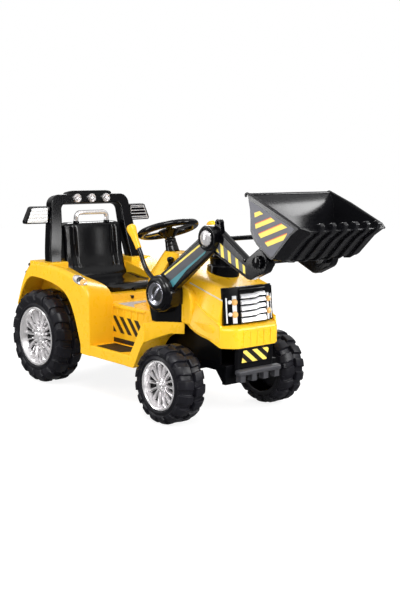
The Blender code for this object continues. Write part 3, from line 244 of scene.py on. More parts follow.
# Solids, all in the vehicle's frame
def new_object(bm):
    bmesh.ops.recalc_face_normals(bm, faces=bm.faces)
    mesh = bpy.data.meshes.new("solid")
    bm.to_mesh(mesh)
    bm.free()
    return bpy.data.objects.new("solid", mesh)


def moved(obj, matrix):
    obj.data.transform(matrix)
    return obj


def at(x, y, z):
    return Matrix.Translation((x, y, z))


def about(axis, angle):
    return Matrix.Rotation(angle, 4, axis)


def ring_angles(count, offset=0.0):
    return [2 * math.pi * (i + offset) / count for i in range(count)]


def pair(side, a, b):
    """Two Y values taken to that side, the lower one first."""
    return sorted((side * a, side * b))


def loft(sections, ring=False):
    """A closed solid through loops of equal length, with flat ends unless it is a ring."""
    bm = bmesh.new()
    rings = [[bm.verts.new(point) for point in section] for section in sections]
    count = len(rings[0])
    pairs = list(zip(rings, rings[1:])) + ([(rings[-1], rings[0])] if ring else [])
    for first, second in pairs:
        for i in range(count):
            j = (i + 1) % count
            bm.faces.new((first[i], first[j], second[j], second[i]))
    if not ring:
        bm.faces.new(list(reversed(rings[0])))
        bm.faces.new(rings[-1])
    return new_object(bm)


def prism(outline, low, high, axis="y"):
    """An outline extruded along an axis: (x, z) points for y, (x, y) for z, and (y, z) for x."""
    spots = {"x": lambda a, b, c: (c, a, b), "y": lambda a, b, c: (a, c, b), "z": lambda a, b, c: (a, b, c)}
    return loft([[spots[axis](a, b, c) for a, b in outline] for c in (low, high)])


def plan_prism(outline, side, low, high):
    """A prism upwards from (x, y) points that are given for the left side."""
    return prism([(x, side * y) for x, y in outline], low, high, "z")


def box(low, high):
    return prism([(low[0], low[1]), (high[0], low[1]), (high[0], high[1]), (low[0], high[1])],
                 low[2], high[2], "z")


def side_box(side, low, high):
    """A box whose Y values are given for the left side."""
    y_low, y_high = pair(side, low[1], high[1])
    return box((low[0], y_low, low[2]), (high[0], y_high, high[2]))


def turned(profile, steps=48, matrix=Matrix.Identity(4)):
    """(radius, height) points spun about local Z. It closes on itself unless both ends are on the axis."""
    bm = bmesh.new()
    rings = []
    for radius, height in profile:
        if radius < 1e-6:
            rings.append([bm.verts.new((0, 0, height))] * steps)
        else:
            rings.append([bm.verts.new((radius * math.cos(a), radius * math.sin(a), height))
                          for a in ring_angles(steps)])
    follow = rings[1:] + ([] if profile[0][0] < 1e-6 else rings[:1])
    for first, second in zip(rings, follow):
        for i in range(steps):
            j = (i + 1) % steps
            corners = []
            for vertex in (first[i], first[j], second[j], second[i]):
                if vertex not in corners:
                    corners.append(vertex)
            if len(corners) > 2:
                bm.faces.new(corners)
    return moved(new_object(bm), matrix)


def tube(points, radius, sides=16):
    """A round tube through the points."""
    points = [Vector(p) for p in points]
    sections = []
    last = len(points) - 1
    normal = Vector((0, 1, 0))
    for i, point in enumerate(points):
        run = (points[min(i + 1, last)] - points[max(i - 1, 0)]).normalized()
        if abs(run.dot(normal)) > 0.95:
            normal = Vector((1, 0, 0)) if abs(run.x) < 0.9 else Vector((0, 0, 1))
        normal = (normal - run * normal.dot(run)).normalized()
        other = run.cross(normal)
        sections.append([point + (normal * math.cos(a) + other * math.sin(a)) * radius
                         for a in ring_angles(sides)])
    return loft(sections)


def rod(radius, start, end, sides=32):
    return tube([start, end], radius, sides)


def ball(centre, radii, turn=Matrix.Identity(4), steps=24):
    bm = bmesh.new()
    bmesh.ops.create_uvsphere(bm, u_segments=steps, v_segments=steps // 2, radius=1.0)
    matrix = Matrix.Translation(centre) @ turn @ Matrix.Diagonal((*radii, 1))
    bmesh.ops.transform(bm, matrix=matrix, verts=bm.verts)
    return new_object(bm)


def arc(centre, radius, start, end, count=12):
    turn = (math.radians(start + (end - start) * i / (count - 1)) for i in range(count))
    return [(centre[0] + radius * math.cos(a), centre[1] + radius * math.sin(a)) for a in turn]


def arc_about(joint, *values):
    """An arc in (x, z) round one of the loader's joints."""
    return arc((joint.x, joint.z), *values)


def smooth_line(points, steps=6):
    """More points on a smooth curve through these ones, ends included."""
    points = [Vector(p) for p in points]
    made = []
    last = len(points) - 1
    for i in range(last):
        before, here = points[max(i - 1, 0)], points[i]
        there, after = points[i + 1], points[min(i + 2, last)]
        for k in range(steps):
            t = k / steps
            made.append(0.5 * (2 * here + (there - before) * t
                               + (2 * before - 5 * here + 4 * there - after) * t ** 2
                               + (3 * here - before - 3 * there + after) * t ** 3))
    return [tuple(p) for p in made + [points[-1]]]


def mirror(outline):
    """A half outline of (y, z) points followed by its mirror image."""
    return list(outline) + [(-y, z) for y, z in reversed(outline)]


def mesh_of(obj):
    """The object's mesh with its modifiers, moved by its own placing."""
    holder = bpy.context.scene.collection.objects
    holder.link(obj)
    bpy.context.view_layer.update()
    mesh = bpy.data.meshes.new_from_object(obj.evaluated_get(bpy.context.evaluated_depsgraph_get()))
    mesh.transform(obj.matrix_basis)
    holder.unlink(obj)
    return mesh


def merged(solids):
    """One object that holds all the solids as they are."""
    bm = bmesh.new()
    for solid in solids:
        bm.from_mesh(mesh_of(solid))
    return new_object(bm)


def cut(obj, *tools):
    """The solid with the tools taken out of it."""
    for tool in tools:
        modifier = obj.modifiers.new("cut", "BOOLEAN")
        modifier.operation = "DIFFERENCE"
        modifier.object = tool
        modifier.solver = "EXACT"
        bpy.context.scene.collection.objects.link(tool)
    mesh = mesh_of(obj)
    for tool in tools:
        bpy.context.scene.collection.objects.unlink(tool)
    return bpy.data.objects.new("cut_solid", mesh)


def add_bevel(obj, width, segments, angle):
    bevel = obj.modifiers.new("round", "BEVEL")
    bevel.width = width
    bevel.segments = segments
    bevel.limit_method = "ANGLE"
    bevel.angle_limit = math.radians(angle)


def rounded(obj, width=0.003, segments=3, angle=32):
    """The solid with its sharp edges rounded."""
    add_bevel(obj, width, segments, angle)
    return bpy.data.objects.new("rounded_solid", mesh_of(obj))


def softened(solids, width=0.0035):
    """The solids side by side with rounded edges, as one moulding."""
    return merged([rounded(solid, width, 3, 40) for solid in solids])


def across(side, place):
    """Lays a turned piece's axis along Y, with its top towards that side."""
    return Matrix.Translation(place) @ about("X", -side * math.pi / 2)


def finish(obj, look, sharp):
    """Smooth shading with sharp creases, and the one material."""
    obj.data.shade_smooth()
    obj.data.set_sharp_from_angle(angle=math.radians(sharp))
    obj.data.materials.clear()
    obj.data.materials.append(look)
    obj.modifiers.new("even_shading", "WEIGHTED_NORMAL").keep_sharp = True


def piece(name, solids, look, body="root", slot=None, *replaces, sharp=38):
    """Joins the solids into one finished, smooth-shaded piece that rides on a body."""
    obj = moved(merged(solids if isinstance(solids, list) else [solids]), at(DATUM_X, 0, 0))
    obj.name = name
    bpy.context.scene.collection.objects.link(obj)
    finish(obj, look, sharp)
    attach(obj, body)
    if replaces:
        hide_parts(*replaces)


def keep_node(name, look, width=0.0015):
    """A CAD piece that stays: its flat faces are joined again, its edges rounded, and it gets its finish."""
    obj = nodes[name]
    weld = obj.modifiers.new("weld", "WELD")
    weld.merge_threshold = 0.00005
    flat = obj.modifiers.new("join_flat", "DECIMATE")
    flat.decimate_type = "DISSOLVE"
    flat.angle_limit = math.radians(1.0)
    add_bevel(obj, width, 2, 40)
    finish(obj, look, 40)


# Wheels
def tyre(spec):
    """A chunky tyre about local Z, its outer face up: two staggered rows of paddle lugs round a groove."""
    radius, hub, width = spec[:3]
    half = width / 2
    low = radius - LUG_DEPTH
    wall = low - 0.006
    # Each row is (groove radius, groove height, lug radius, lug height)
    rows = [(r, h, r, h) for r, h in (
        (hub + 0.0012, half - 0.01), (hub + 0.0014, half - 0.0035), (hub + 0.0045, half - 0.0012),
        (hub + 0.0085, half - 0.003), (hub + 0.012, half - 0.0055),
    )]
    rows += [
        (hub + 0.016, half - 0.0052, hub + 0.016, half - 0.0045),
        (radius * 0.79, half - 0.0045, radius * 0.79, half - 0.0008),
        (radius * 0.86, half - 0.0065, radius * 0.875, half - 0.0004),
        (low * 0.965, half * 0.83, radius * 0.945, half * 0.86),
        (low * 0.985, half * 0.74, radius * 0.984, half * 0.7),
        (low, half * 0.6, radius, half * 0.56), (low, half * 0.34, radius, half * 0.34),
        (low, half * 0.14, radius, half * 0.14), (low - 0.001, half * 0.1, radius - 0.002, half * 0.1),
        (low - 0.004, half * 0.055, low - 0.004, half * 0.055),
    ]
    rows += [(a, -b, c, -d) for a, b, c, d in reversed(rows[5:])]
    rows += [(r, h, r, h) for r, h in (
        (hub * 1.1, -half + 0.004), (hub * 1.02, -half + 0.006), (hub * 1.02, -half + 0.014),
        (wall, -half + 0.016), (wall, half * 0.5), (radius * 0.84, half - 0.01), (hub + 0.01, half - 0.013),
        (hub * 0.86 + 0.004, half - 0.046), (0.016, half - 0.046), (0.016, -half + 0.004),
        (AXLE_BORE, -half + 0.004), (AXLE_BORE, half - 0.04), (hub * 0.86, half - 0.04),
    )]
    # Places round one pitch, with how far the outer and the inner row of lugs stand out there
    columns = (
        (0.02, 0.0, 0.96), (0.05, 0.86, 1.0), (0.12, 0.9, 1.0), (0.18, 0.93, 0.0), (0.35, 0.97, 0.0),
        (0.52, 1.0, 0.0), (0.55, 1.0, 0.86), (0.62, 1.0, 0.88), (0.68, 0.0, 0.9), (0.85, 0.0, 0.94),
    )
    pitch = 2 * math.pi / LUGS
    sections = []
    for lug in range(LUGS):
        for share, outer_lift, inner_lift in columns:
            loop = []
            for low_r, low_h, lug_r, lug_h in rows:
                lift = outer_lift if low_h > 0 else inner_lift
                r = low_r + (lug_r - low_r) * lift
                h = low_h + (lug_h - low_h) * lift
                slant = 0.16 * pitch * min(abs(h) / half, 1.0) if abs(lug_r - low_r) > 1e-6 else 0.0
                a = pitch * (lug + share) + slant
                loop.append((r * math.cos(a), r * math.sin(a), h))
            sections.append(loop)
    return loft(sections, ring=True)


def spoke(inner, outer, inner_half, outer_half, base, ridge, turn):
    """A tapered spoke with a ridge along its middle."""
    sections = []
    for share in (0.0, 0.12, 0.5, 0.88, 1.0):
        r = inner + (outer - inner) * share
        half = inner_half + (outer_half - inner_half) * share
        top = base + (ridge - base) * (0.55 if share in (0.0, 1.0) else 1.0)
        sections.append([(r, -half, base - 0.004), (r, -half, base + 0.001), (r, -half * 0.35, top),
                         (r, half * 0.35, top), (r, half, base + 0.001), (r, half, base - 0.004)])
    return moved(loft(sections), about("Z", turn))


def hubcap(spec, spokes, paired):
    """A chromed cap: bright rim, ridged spokes over dark windows, and a raised centre with its nuts."""
    hub, width = spec[1], spec[2]
    face = width / 2 - 0.0035
    floor = face - 0.022
    parts = [turned([
        (hub - 0.0004, face - 0.012), (hub - 0.0004, face - 0.0015), (hub - 0.0025, face),
        (hub * 0.925, face - 0.0008), (hub * 0.895, face - 0.004), (hub * 0.865, face - 0.0145),
        (hub * 0.83, face - 0.02), (hub * 0.83, face - 0.024), (hub * 0.9, face - 0.024),
    ], 96)]
    for turn in ring_angles(spokes):
        parts.append(spoke(hub * 0.24, hub * 0.87, hub * 0.03, hub * 0.074, floor, face - 0.011, turn))
        if paired:
            turn += math.pi / spokes
            parts.append(spoke(hub * 0.5, hub * 0.87, hub * 0.022, hub * 0.04, floor, face - 0.014, turn))
            spot = at(hub * 0.42 * math.cos(turn), hub * 0.42 * math.sin(turn), floor + 0.004)
            parts.append(turned([(0, 0.006), (hub * 0.03, 0.004), (hub * 0.045, 0.0), (hub * 0.045, -0.006),
                                 (0, -0.006)], 16, spot))
    parts.append(turned([
        (0, face - 0.0045), (hub * 0.1, face - 0.005), (hub * 0.13, face - 0.008),
        (hub * 0.135, face - 0.011), (hub * 0.27, face - 0.013), (hub * 0.3, face - 0.017),
        (hub * 0.31, floor - 0.004), (0, floor - 0.004),
    ], 64))
    for a in ring_angles(5, 0.25):
        spot = at(hub * 0.205 * math.cos(a), hub * 0.205 * math.sin(a), face - 0.012)
        parts.append(turned([(0, 0.004), (hub * 0.03, 0.004), (hub * 0.042, 0.0025), (hub * 0.042, -0.003),
                             (0, -0.003)], 6, spot))
    return merged(parts)


def cap_floor(spec):
    hub, width = spec[1], spec[2]
    level = width / 2 - 0.027
    return turned([(0.004, level), (hub * 0.84, level), (hub * 0.86, level - 0.003), (0.004, level - 0.006)])


def wheels():
    for word, side in SIDES:
        for end, spec, count, paired in (("rear", REAR_WHEEL, 10, True), ("front", FRONT_WHEEL, 14, False)):
            radius, _, width, outer_y, x = spec
            turn = across(side, (x, side * (outer_y - width / 2), radius))
            body = f"{end}_wheel_{word}"
            rubber = rounded(moved(tyre(spec), turn), 0.0009, 1, 40)
            piece(f"tyre_{end}_{word}", rubber, RUBBER, body, "tyre_black", f"{end}_tyre_{word}", sharp=30)
            piece(f"cap_{end}_{word}", moved(hubcap(spec, count, paired), turn), CHROME, body, "chrome",
                  f"{end}_hubcap_{word}", sharp=30)
            piece(f"cap_floor_{end}_{word}", moved(cap_floor(spec), turn), GLOSS_BLACK, body, "gloss_black")


# Body: fender stations are x, height of the outer edge, height of the inner edge
FENDER_STATIONS = (
    (-0.143, 0.25, 0.25), (-0.133, 0.278, 0.278), (-0.111, 0.33, 0.33), (-0.083, 0.378, 0.377),
    (-0.06, 0.4, 0.398), (-0.042, 0.406, 0.4), (0.03, 0.407, 0.39), (0.088, 0.404, 0.378),
    (0.13, 0.399, 0.369), (0.205, 0.384, 0.359), (0.248, 0.368, 0.349), (0.276, 0.343, 0.329),
    (0.29, 0.295, 0.288), (0.2955, 0.15, 0.15),
)


def fender_solid(side, inner_y, low_z, inset=0.0):
    """The rear fender, its top falling towards the seat and the front; the inset draws it in."""
    sections = []
    out = HALF_WIDTH - inset
    curve = 0.016
    for x, outer_z, inner_z in smooth_line(FENDER_STATIONS, 5):
        along = min(max(x, FENDER_STATIONS[0][0] + inset), FENDER_STATIONS[-1][0] - inset)
        edge = arc((out - curve, outer_z - curve - inset), curve, 0, 90, 5)
        loop = [(inner_y, low_z), (out, low_z)] + edge + [(inner_y, inner_z - inset)]
        if not sections or along - sections[-1][0][0] > 0.0004:
            sections.append([(along, side * y, z) for y, z in loop])
    return loft(sections)


def rear_fender(side):
    """The hollow fender with its wheel mouth, and the pad with three scallops that carries the hoop."""
    mouth_line = smooth_line([
        (-0.1335, 0.25), (-0.122, 0.276), (-0.098, 0.318), (-0.07, 0.347), (-0.036, 0.358), (0.05, 0.353),
        (0.13, 0.336), (0.175, 0.307), (0.206, 0.26), (0.232, 0.198), (0.2495, 0.15),
    ], 5)
    mouth = prism([(-0.1335, 0.05)] + mouth_line + [(0.252, 0.05)], *pair(side, 0.2, 0.24))
    room = fender_solid(side, ARCH_IN, 0.05, WALL)
    behind = side_box(side, (-0.16, ARCH_IN - 0.0004, 0.05), (-0.05, 0.24, 0.25))
    sill = box((-0.2, -0.3, 0.0), (0.7, 0.3, SILL_Z))
    tail_low = side_box(side, (-0.16, 0.1, 0.05), (-0.1165, ARCH_IN, 0.25))
    fender = cut(fender_solid(side, BOX_HALF - 0.006, 0.1), room, mouth, behind, sill, tail_low)
    pad = rounded(side_box(side, (-0.063, 0.1345, 0.372), (0.044, 0.2215, 0.41)), 0.003, 2)
    scallops = [rod(0.013, (x, side * 0.2285, 0.397), (x, side * 0.2285, 0.43), 20)
                for x in (-0.044, -0.014, 0.016)]
    return [fender, cut(pad, *scallops)]


def front_wing(side):
    """The footwell's floor and the wing that rises from it over the front wheel."""
    floor = side_box(side, (0.24, 0.128, SILL_Z), (0.512, FLOOR_HALF, FLOOR_Z))
    under = smooth_line([(0.517, SILL_Z), (0.531, 0.163), (0.551, 0.202), (0.574, 0.231), (0.61, 0.25)], 4)
    over = smooth_line([(0.655, 0.284), (0.58, 0.284), (0.556, 0.274), (0.523, 0.215), (0.49, 0.16)], 4)
    outline = [(0.48, SILL_Z)] + under + [(0.655, 0.25)] + over + [(0.48, 0.16)]
    trim = smooth_line([(0.566, 0.225), (0.575, 0.2), (0.596, 0.17), (0.64, 0.1275)], 4)
    trim = [(0.566, 0.24)] + trim + [(0.64, 0.1), (0.7, 0.1), (0.7, 0.24)]
    return [floor, cut(prism(outline, *pair(side, 0.126, WING_HALF)), plan_prism(trim, side, 0.1, 0.32))]


def body_shell():
    """The yellow body: fenders over the rear wheels, seat box, tunnel, footwells and front wings."""
    tail = smooth_line([(-0.116, 0.275), (-0.098, 0.32), (-0.074, 0.372), (-0.055, DECK_Z)], 4)
    seat_box = prism([(-0.116, SILL_Z)] + tail + [
        (0.012, DECK_Z), (0.024, 0.33), (0.222, 0.324), (0.244, 0.318), (0.252, 0.306), (0.256, 0.2985),
        (0.296, 0.298), (0.296, SILL_Z),
    ], -BOX_HALF, BOX_HALF)
    tail_in = [(x + WALL, z - WALL * 0.3) for x, z in tail[:-1]] + [(-0.052, DECK_Z - WALL)]
    hollow = prism([(-0.116 + WALL, 0.05)] + tail_in + [
        (0.012 - WALL, DECK_Z - WALL), (0.019, 0.33 - WALL), (0.22, 0.324 - WALL), (0.247, 0.292),
        (0.305, TUNNEL_Z - WALL), (0.6, TUNNEL_Z - WALL), (0.6, 0.05),
    ], -BOX_HALF + WALL, BOX_HALF - WALL)
    hatch = box((0.08, -0.08, 0.2), (0.2, 0.08, 0.345))
    axle_slot = box((-0.0075, -0.16, 0.1), (0.0075, 0.16, 0.165))
    column_way = rod(0.02, WHEEL_CENTRE + column_down(0.1), WHEEL_CENTRE + column_down(0.46), 16)
    tunnel = prism([(0.27, SILL_Z), (0.27, 0.28), (0.3, TUNNEL_Z), (0.545, TUNNEL_Z), (0.545, 0.23),
                    (0.52, SILL_Z)], -BOX_HALF + 0.002, BOX_HALF - 0.002)
    solids = [cut(seat_box, hollow, hatch, axle_slot), cut(tunnel, hollow, column_way)]
    for _, side in SIDES:
        solids += rear_fender(side) + front_wing(side)
        for x in (0.318, 0.352, 0.386, 0.42):
            solids.append(side_box(side, (x - 0.0035, BOX_HALF - 0.004, 0.262),
                                   (x + 0.0035, BOX_HALF + 0.0012, 0.288)))
        solids.append(prism([(0.292, 0.286), (0.46, 0.286), (0.46, 0.296), (0.3, 0.296)],
                            *pair(side, BOX_HALF - 0.006, BOX_HALF + 0.0022)))
    piece("body_moulding", softened(solids), YELLOW, "root", "body_yellow", "body_shell")
    for word, side in SIDES:
        guard = prism([(0.5, 0.177), (0.775, 0.177), (0.775, 0.255), (0.69, 0.285), (0.5, 0.285)],
                      *pair(side, 0.098, 0.104))
        piece(f"inner_guard_{word}", guard, SATIN_BLACK)


def column_down(distance):
    """The way down the steering axis from the wheel's centre."""
    return Vector((math.sin(COLUMN_TILT), 0, -math.cos(COLUMN_TILT))) * distance


# Hood stations are x, low half width, shoulder half width, shoulder height, crown height
HOOD_STATIONS = (
    (0.566, 0.13, 0.116, 0.432, 0.462), (0.608, 0.1303, 0.113, 0.426, 0.45),
    (0.65, 0.13, 0.108, 0.418, 0.437), (0.72, 0.1276, 0.099, 0.408, 0.418),
    (0.774, 0.1188, 0.092, 0.398, 0.402),
)


def hood_half(x):
    """Low half width, shoulder half width, shoulder height and crown height of the hood at x."""
    for first, second in zip(HOOD_STATIONS, HOOD_STATIONS[1:]):
        if x <= second[0]:
            break
    t = (x - first[0]) / (second[0] - first[0])
    return [a + (b - a) * t for a, b in zip(first[1:], second[1:])]


def hood_side(x, z):
    """Half width of the hood's flank at x and z."""
    low, shoulder, shoulder_z, _ = hood_half(x)
    t = min(max((z - HOOD_LOW_Z) / (shoulder_z - HOOD_LOW_Z), 0.0), 1.0)
    return low + (shoulder - low) * t - 0.004 * math.sin(math.pi * t)


def hood_section(x, low_z, inset=0.0):
    _, shoulder, shoulder_z, crown_z = hood_half(x)
    rise = crown_z - shoulder_z
    flank = [(hood_side(x, z) - inset, z)
             for z in (low_z, 0.32, 0.35, shoulder_z - 0.035, shoulder_z - 0.012)]
    half = flank + smooth_line([(shoulder - inset, shoulder_z - inset * 0.5 - 0.002),
                                (shoulder * 0.9 - inset, shoulder_z + rise * 0.35 - inset + 0.002),
                                (shoulder * 0.55, shoulder_z + rise * 0.85 - inset),
                                (0.0, crown_z - inset)], 4)
    return [(x, y, z) for y, z in half] + [(x, -y, z) for y, z in reversed(half[:-1])]


NOSE_PLAN = ((0.64, 0.1285), (0.745, 0.1268), (0.778, 0.119), (0.8, 0.103), (0.814, 0.088), (0.8205, 0.076))


def nose_solid(inset, levels):
    """The lower nose as loops of its plan, one at each level of (z, draw-in)."""
    half = smooth_line(NOSE_PLAN, 4) + [(0.8215, 0.04), (0.8215, 0.0)]
    sections = []
    for z, draw in levels:
        loop = []
        for x, y in half:
            front = min(max((x - 0.752) / 0.034, 0.0), 1.0)
            shrink = inset + draw * front
            loop.append((x - shrink if x > 0.66 else x, max(y - shrink, 0.0), z))
        sections.append(loop + [(x, -y, z) for x, y, z in reversed(loop[:-1])])
    return loft(sections)


def hood_flank(side):
    """The flared cheek under the sweeping rib, the rib, and the rounded pad ahead of the wing."""
    rib_line = smooth_line([(0.672, 0.35), (0.7, 0.334), (0.735, 0.3165), (0.766, 0.3035), (0.779, 0.298)], 4)
    edge = [(x, hood_side(min(x, 0.774), z) + 0.003, z) for x, z in rib_line]
    loop = edge + [
        (0.785, 0.1175, 0.2915), (0.786, 0.1165, 0.28), (0.786, 0.1165, 0.248), (0.776, 0.1205, 0.239),
        (0.752, 0.1275, 0.251), (0.722, 0.1306, 0.257), (0.7, 0.1315, 0.2625), (0.68, 0.132, 0.272),
        (0.668, 0.1322, 0.281),
    ]
    flare = loft([[(x, side * 0.108, z) for x, _, z in loop], [(x, side * y, z) for x, y, z in loop]])
    rib = tube([(x, side * (y - 0.0022), z) for x, y, z in edge], 0.0036, 10)
    outline = [(0.59, 0.287), (0.59, 0.392)] + arc((0.628, 0.348), 0.046, 95, -8) + [(0.674, 0.278)]
    return [flare, rib, rounded(prism(outline, *pair(side, 0.1, 0.1318)), 0.007, 4)]


def front_cover():
    """Hood and nose as one moulding: crowned top, flared cheeks, sweeping rib and ribbed front edge."""
    xs = [0.566 + 0.2075 * i / 16 for i in range(17)]
    hood = loft([hood_section(x, 0.285) for x in xs])
    inside = loft([hood_section(x, 0.2, WALL) for x in [0.5725] + xs[1:-1] + [0.7665]])
    nose = nose_solid(0.0, ((0.227, 0.0015), (0.23, 0.0), (0.276, 0.0), (0.284, 0.002), (0.289, 0.0075),
                            (0.2935, 0.02)))
    nose_inside = nose_solid(WALL, ((0.2, 0.0), (0.2868, 0.0)))
    rise = smooth_line([(0.6, 0.2875), (0.646, 0.284), (0.669, 0.271), (0.7, 0.2585), (0.722, 0.253),
                        (0.752, 0.247), (0.778, 0.233), (0.8, 0.215)], 3)
    lower_cut = prism([(0.6, 0.19)] + rise + [(0.8, 0.19)], -0.15, 0.15)
    under_hood = box((0.58, -0.118, 0.25), (0.775, 0.118, 0.32))
    solids = [cut(hood, inside), cut(nose, nose_inside, lower_cut, under_hood)]
    for _, side in SIDES:
        solids += hood_flank(side)
    for y in (-0.055, -0.0275, 0.0, 0.0275, 0.055):
        solids.append(box((0.812, y - 0.003, 0.231), (0.8236, y + 0.003, 0.2755)))
    piece("front_cover", softened(solids), YELLOW, "root", "body_yellow", "hood", "nose_skirt")
    width = 0.0021
    for word, side in SIDES:
        stripe = []
        for i in range(13):
            x, z = 0.642 + 0.132 * i / 12, 0.4035 - 0.04 * i / 12
            y = side * (hood_side(x, z) + 0.0003)
            stripe.append([(x, y - side * 0.002, z - width), (x, y + side * 0.0004, z - width),
                           (x, y + side * 0.0002, z + width), (x, y - side * 0.002, z + width)])
        piece(f"hood_stripe_{word}", loft(stripe), STRIPE_SILVER)


GRILLE_TILT = math.radians(6)
GRILLE_FOOT = (0.8025, 0.0, 0.2955)
LOUVRE_LOW_Z = 0.2987
LOUVRE_PITCH = 0.01755


def leaned(obj):
    """Leans a front piece back about the grille's foot."""
    foot = Matrix.Translation(GRILLE_FOOT)
    return moved(obj, foot @ about("Y", -GRILLE_TILT) @ foot.inverted())


def louvre(number):
    """One bright louvre, its line stepping up towards the vehicle's left; the lowest keeps a flat edge."""
    low = LOUVRE_LOW_Z + number * LOUVRE_PITCH
    sections = []
    for k in range(25):
        y = -0.0495 + 0.099 * k / 24
        t = min(max((y - 0.004) / 0.022, 0.0), 1.0)
        lift = 0.0042 * t * t * (3 - 2 * t)
        top = min(low + 0.0132 + lift, 0.3853)
        bottom = low + (lift if number else 0.0)
        sections.append([(x, y, z) for x, z in (
            (0.7955, bottom + 0.001), (0.808, bottom), (0.8102, bottom + 0.001), (0.8104, bottom + 0.003),
            (0.8086, (bottom + top) / 2), (0.8064, top - 0.0012), (0.805, top - 0.0003),
            (0.7955, top - 0.001))])
    return leaned(loft(sections))


def grille():
    """Black surround, five wavy chrome louvres, and the lamp strips on the chamfered corners; each corner's
    slim white strip is a painted highlight.
    """
    window = box((0.7945, -0.0505, 0.2975), (0.82, 0.0505, 0.386))
    surround = cut(prism([(0.7745, 0.0985), (0.784, 0.0975), (0.8025, 0.053), (0.8025, -0.053),
                          (0.784, -0.0975), (0.7745, -0.0985)], 0.295, 0.4035, "z"), window)
    parts = [leaned(rounded(surround, 0.0028))]
    for _, side in SIDES:
        for x, y, top, radius in ((0.8018, 0.0525, 0.3985, 0.0034), (0.7838, 0.0972, 0.3975, 0.003)):
            parts.append(leaned(tube([(x, side * y, 0.2965), (x, side * y, top)], radius, 12)))
    brow = prism([(0.776, 0.388), (0.8052, 0.388), (0.8058, 0.3975), (0.798, 0.4045), (0.776, 0.4045)],
                 -0.053, 0.053)
    parts.append(leaned(rounded(brow, 0.0025)))
    piece("grille_surround", parts, GLOSS_BLACK, "root", "gloss_black", "grille_frame")
    piece("grille_louvres", [louvre(i) for i in range(5)], LOUVRE_CHROME, "root", "chrome", "grille_bars")
    heights = (-0.0215, 0.0145)
    for word, side in SIDES:
        outward = Vector((0.0445, side * 0.0185, 0)).normalized()
        turn = Vector((1, 0, 0)).rotation_difference(outward).to_matrix().to_4x4()
        foot = Vector(((0.8025 + 0.784) / 2, side * (0.053 + 0.0975) / 2, 0.346))
        on_face = Matrix.Translation(foot + outward * 0.0004) @ turn
        strip = rounded(box((-0.001, -0.0068, -0.0475), (0.003, 0.0068, 0.033)), 0.0012, 2)
        # The slim white strip near the frame's outer edge is a painted highlight: a streak of light along
        # that edge, given as a thin lens.
        painted_highlight_strip = rounded(box((-0.001, -0.0022, -0.046), (0.0016, 0.0022, 0.028)), 0.0008, 2)
        parts = [moved(strip, on_face @ at(0, -side * 0.0085, 0.0)),
                 moved(painted_highlight_strip, on_face @ at(0, side * 0.0165, 0.0))]
        parts += [moved(ball((0.0022, side * 0.006, z + 0.001), (0.0052, 0.0068, 0.0062)), on_face)
                  for z in heights]
        piece(f"grille_lens_{word}", [leaned(part) for part in parts], LENS_WHITE_AND_PAINTED_HIGHLIGHT)
        profile = [(0, 0.0095), (0.004, 0.009), (0.0072, 0.0072), (0.0094, 0.0036), (0.0098, 0.0), (0, 0.0)]
        lamps = [turned(profile, 28, on_face @ at(0.001, -side * 0.0085, z) @ about("Y", math.pi / 2))
                 for z in heights]
        piece(f"grille_lamps_{word}", [leaned(lamp) for lamp in lamps], AMBER, "root", "amber",
              f"grille_lamp_{word}")


def lower_front():
    """The black valance with its hazard panel, and the notched bar."""
    keep_node("front_valance", SATIN_BLACK, 0.002)
    keep_node("bumper_bar", DARK_GREY)
    panel = prism([(-0.057, 0.182), (0.046, 0.182), (0.056, 0.218), (-0.05, 0.218)], 0.814, 0.816, "x")
    stripes = ((0, 0.61, 0.79), 0.0262, 0.52, 0.3, HAZARD_BLACK)
    hazard = plastic("valance_hazard", HAZARD_YELLOW, 0.35, stripes=stripes)
    piece("valance_hazard_panel", rounded(panel, 0.0005, 1), hazard)


def air_cleaner():
    """The round stack on the hood, with a flange, fins and a cap."""
    place = at(0.668, 0, 0.446)
    stack = turned([
        (0, 0.048), (0.03, 0.0475), (0.0385, 0.0455), (0.043, 0.0415), (0.044, 0.037), (0.044, 0.031),
        (0.0425, 0.028), (0.0392, 0.0262), (0.0388, 0.018), (0.0388, 0.0105), (0.041, 0.008),
        (0.0475, 0.006), (0.049, 0.004), (0.049, -0.03), (0, -0.03),
    ], 64, place)
    fins = [moved(box((0.0375, -0.0013, 0.0105), (0.0405, 0.0013, 0.0262)), place @ about("Z", a))
            for a in ring_angles(24)]
    piece("air_stack", [stack] + fins, GLOSS_BLACK, "root", "gloss_black", "air_cleaner")


# Console stations are z, rear x, front x, half width, half width at the front
DASH_STATIONS = (
    (0.2983, 0.335, 0.562, 0.112, 0.112), (0.345, 0.341, 0.562, 0.107, 0.111),
    (0.395, 0.3485, 0.562, 0.1, 0.11), (0.432, 0.372, 0.562, 0.066, 0.104),
    (0.46, 0.3925, 0.548, 0.045, 0.078), (0.474, 0.4035, 0.52, 0.036, 0.05),
)


def dash_section(z, rear, front, half, front_half, inset=0.0):
    """A plan of the console: a narrow rear face, rounded flanks and a front as wide as the hood."""
    scale = half / 0.112
    points = [(rear + inset, 0.0), (rear + inset, 0.014 * scale),
              (rear + 0.006 * scale + inset, 0.03 * scale),
              (rear + 0.03 * scale + inset, 0.055 * scale - inset * 0.6),
              (rear + 0.075 * scale + inset * 0.6, 0.085 * scale - inset),
              (rear + 0.12 * scale, half * 0.93 - inset), (front - 0.03, half - inset)]
    curve = smooth_line(points, 3) + [(front, front_half - inset)]
    return [(x, y, z) for x, y in curve] + [(x, -y, z) for x, y in reversed(curve[1:])]


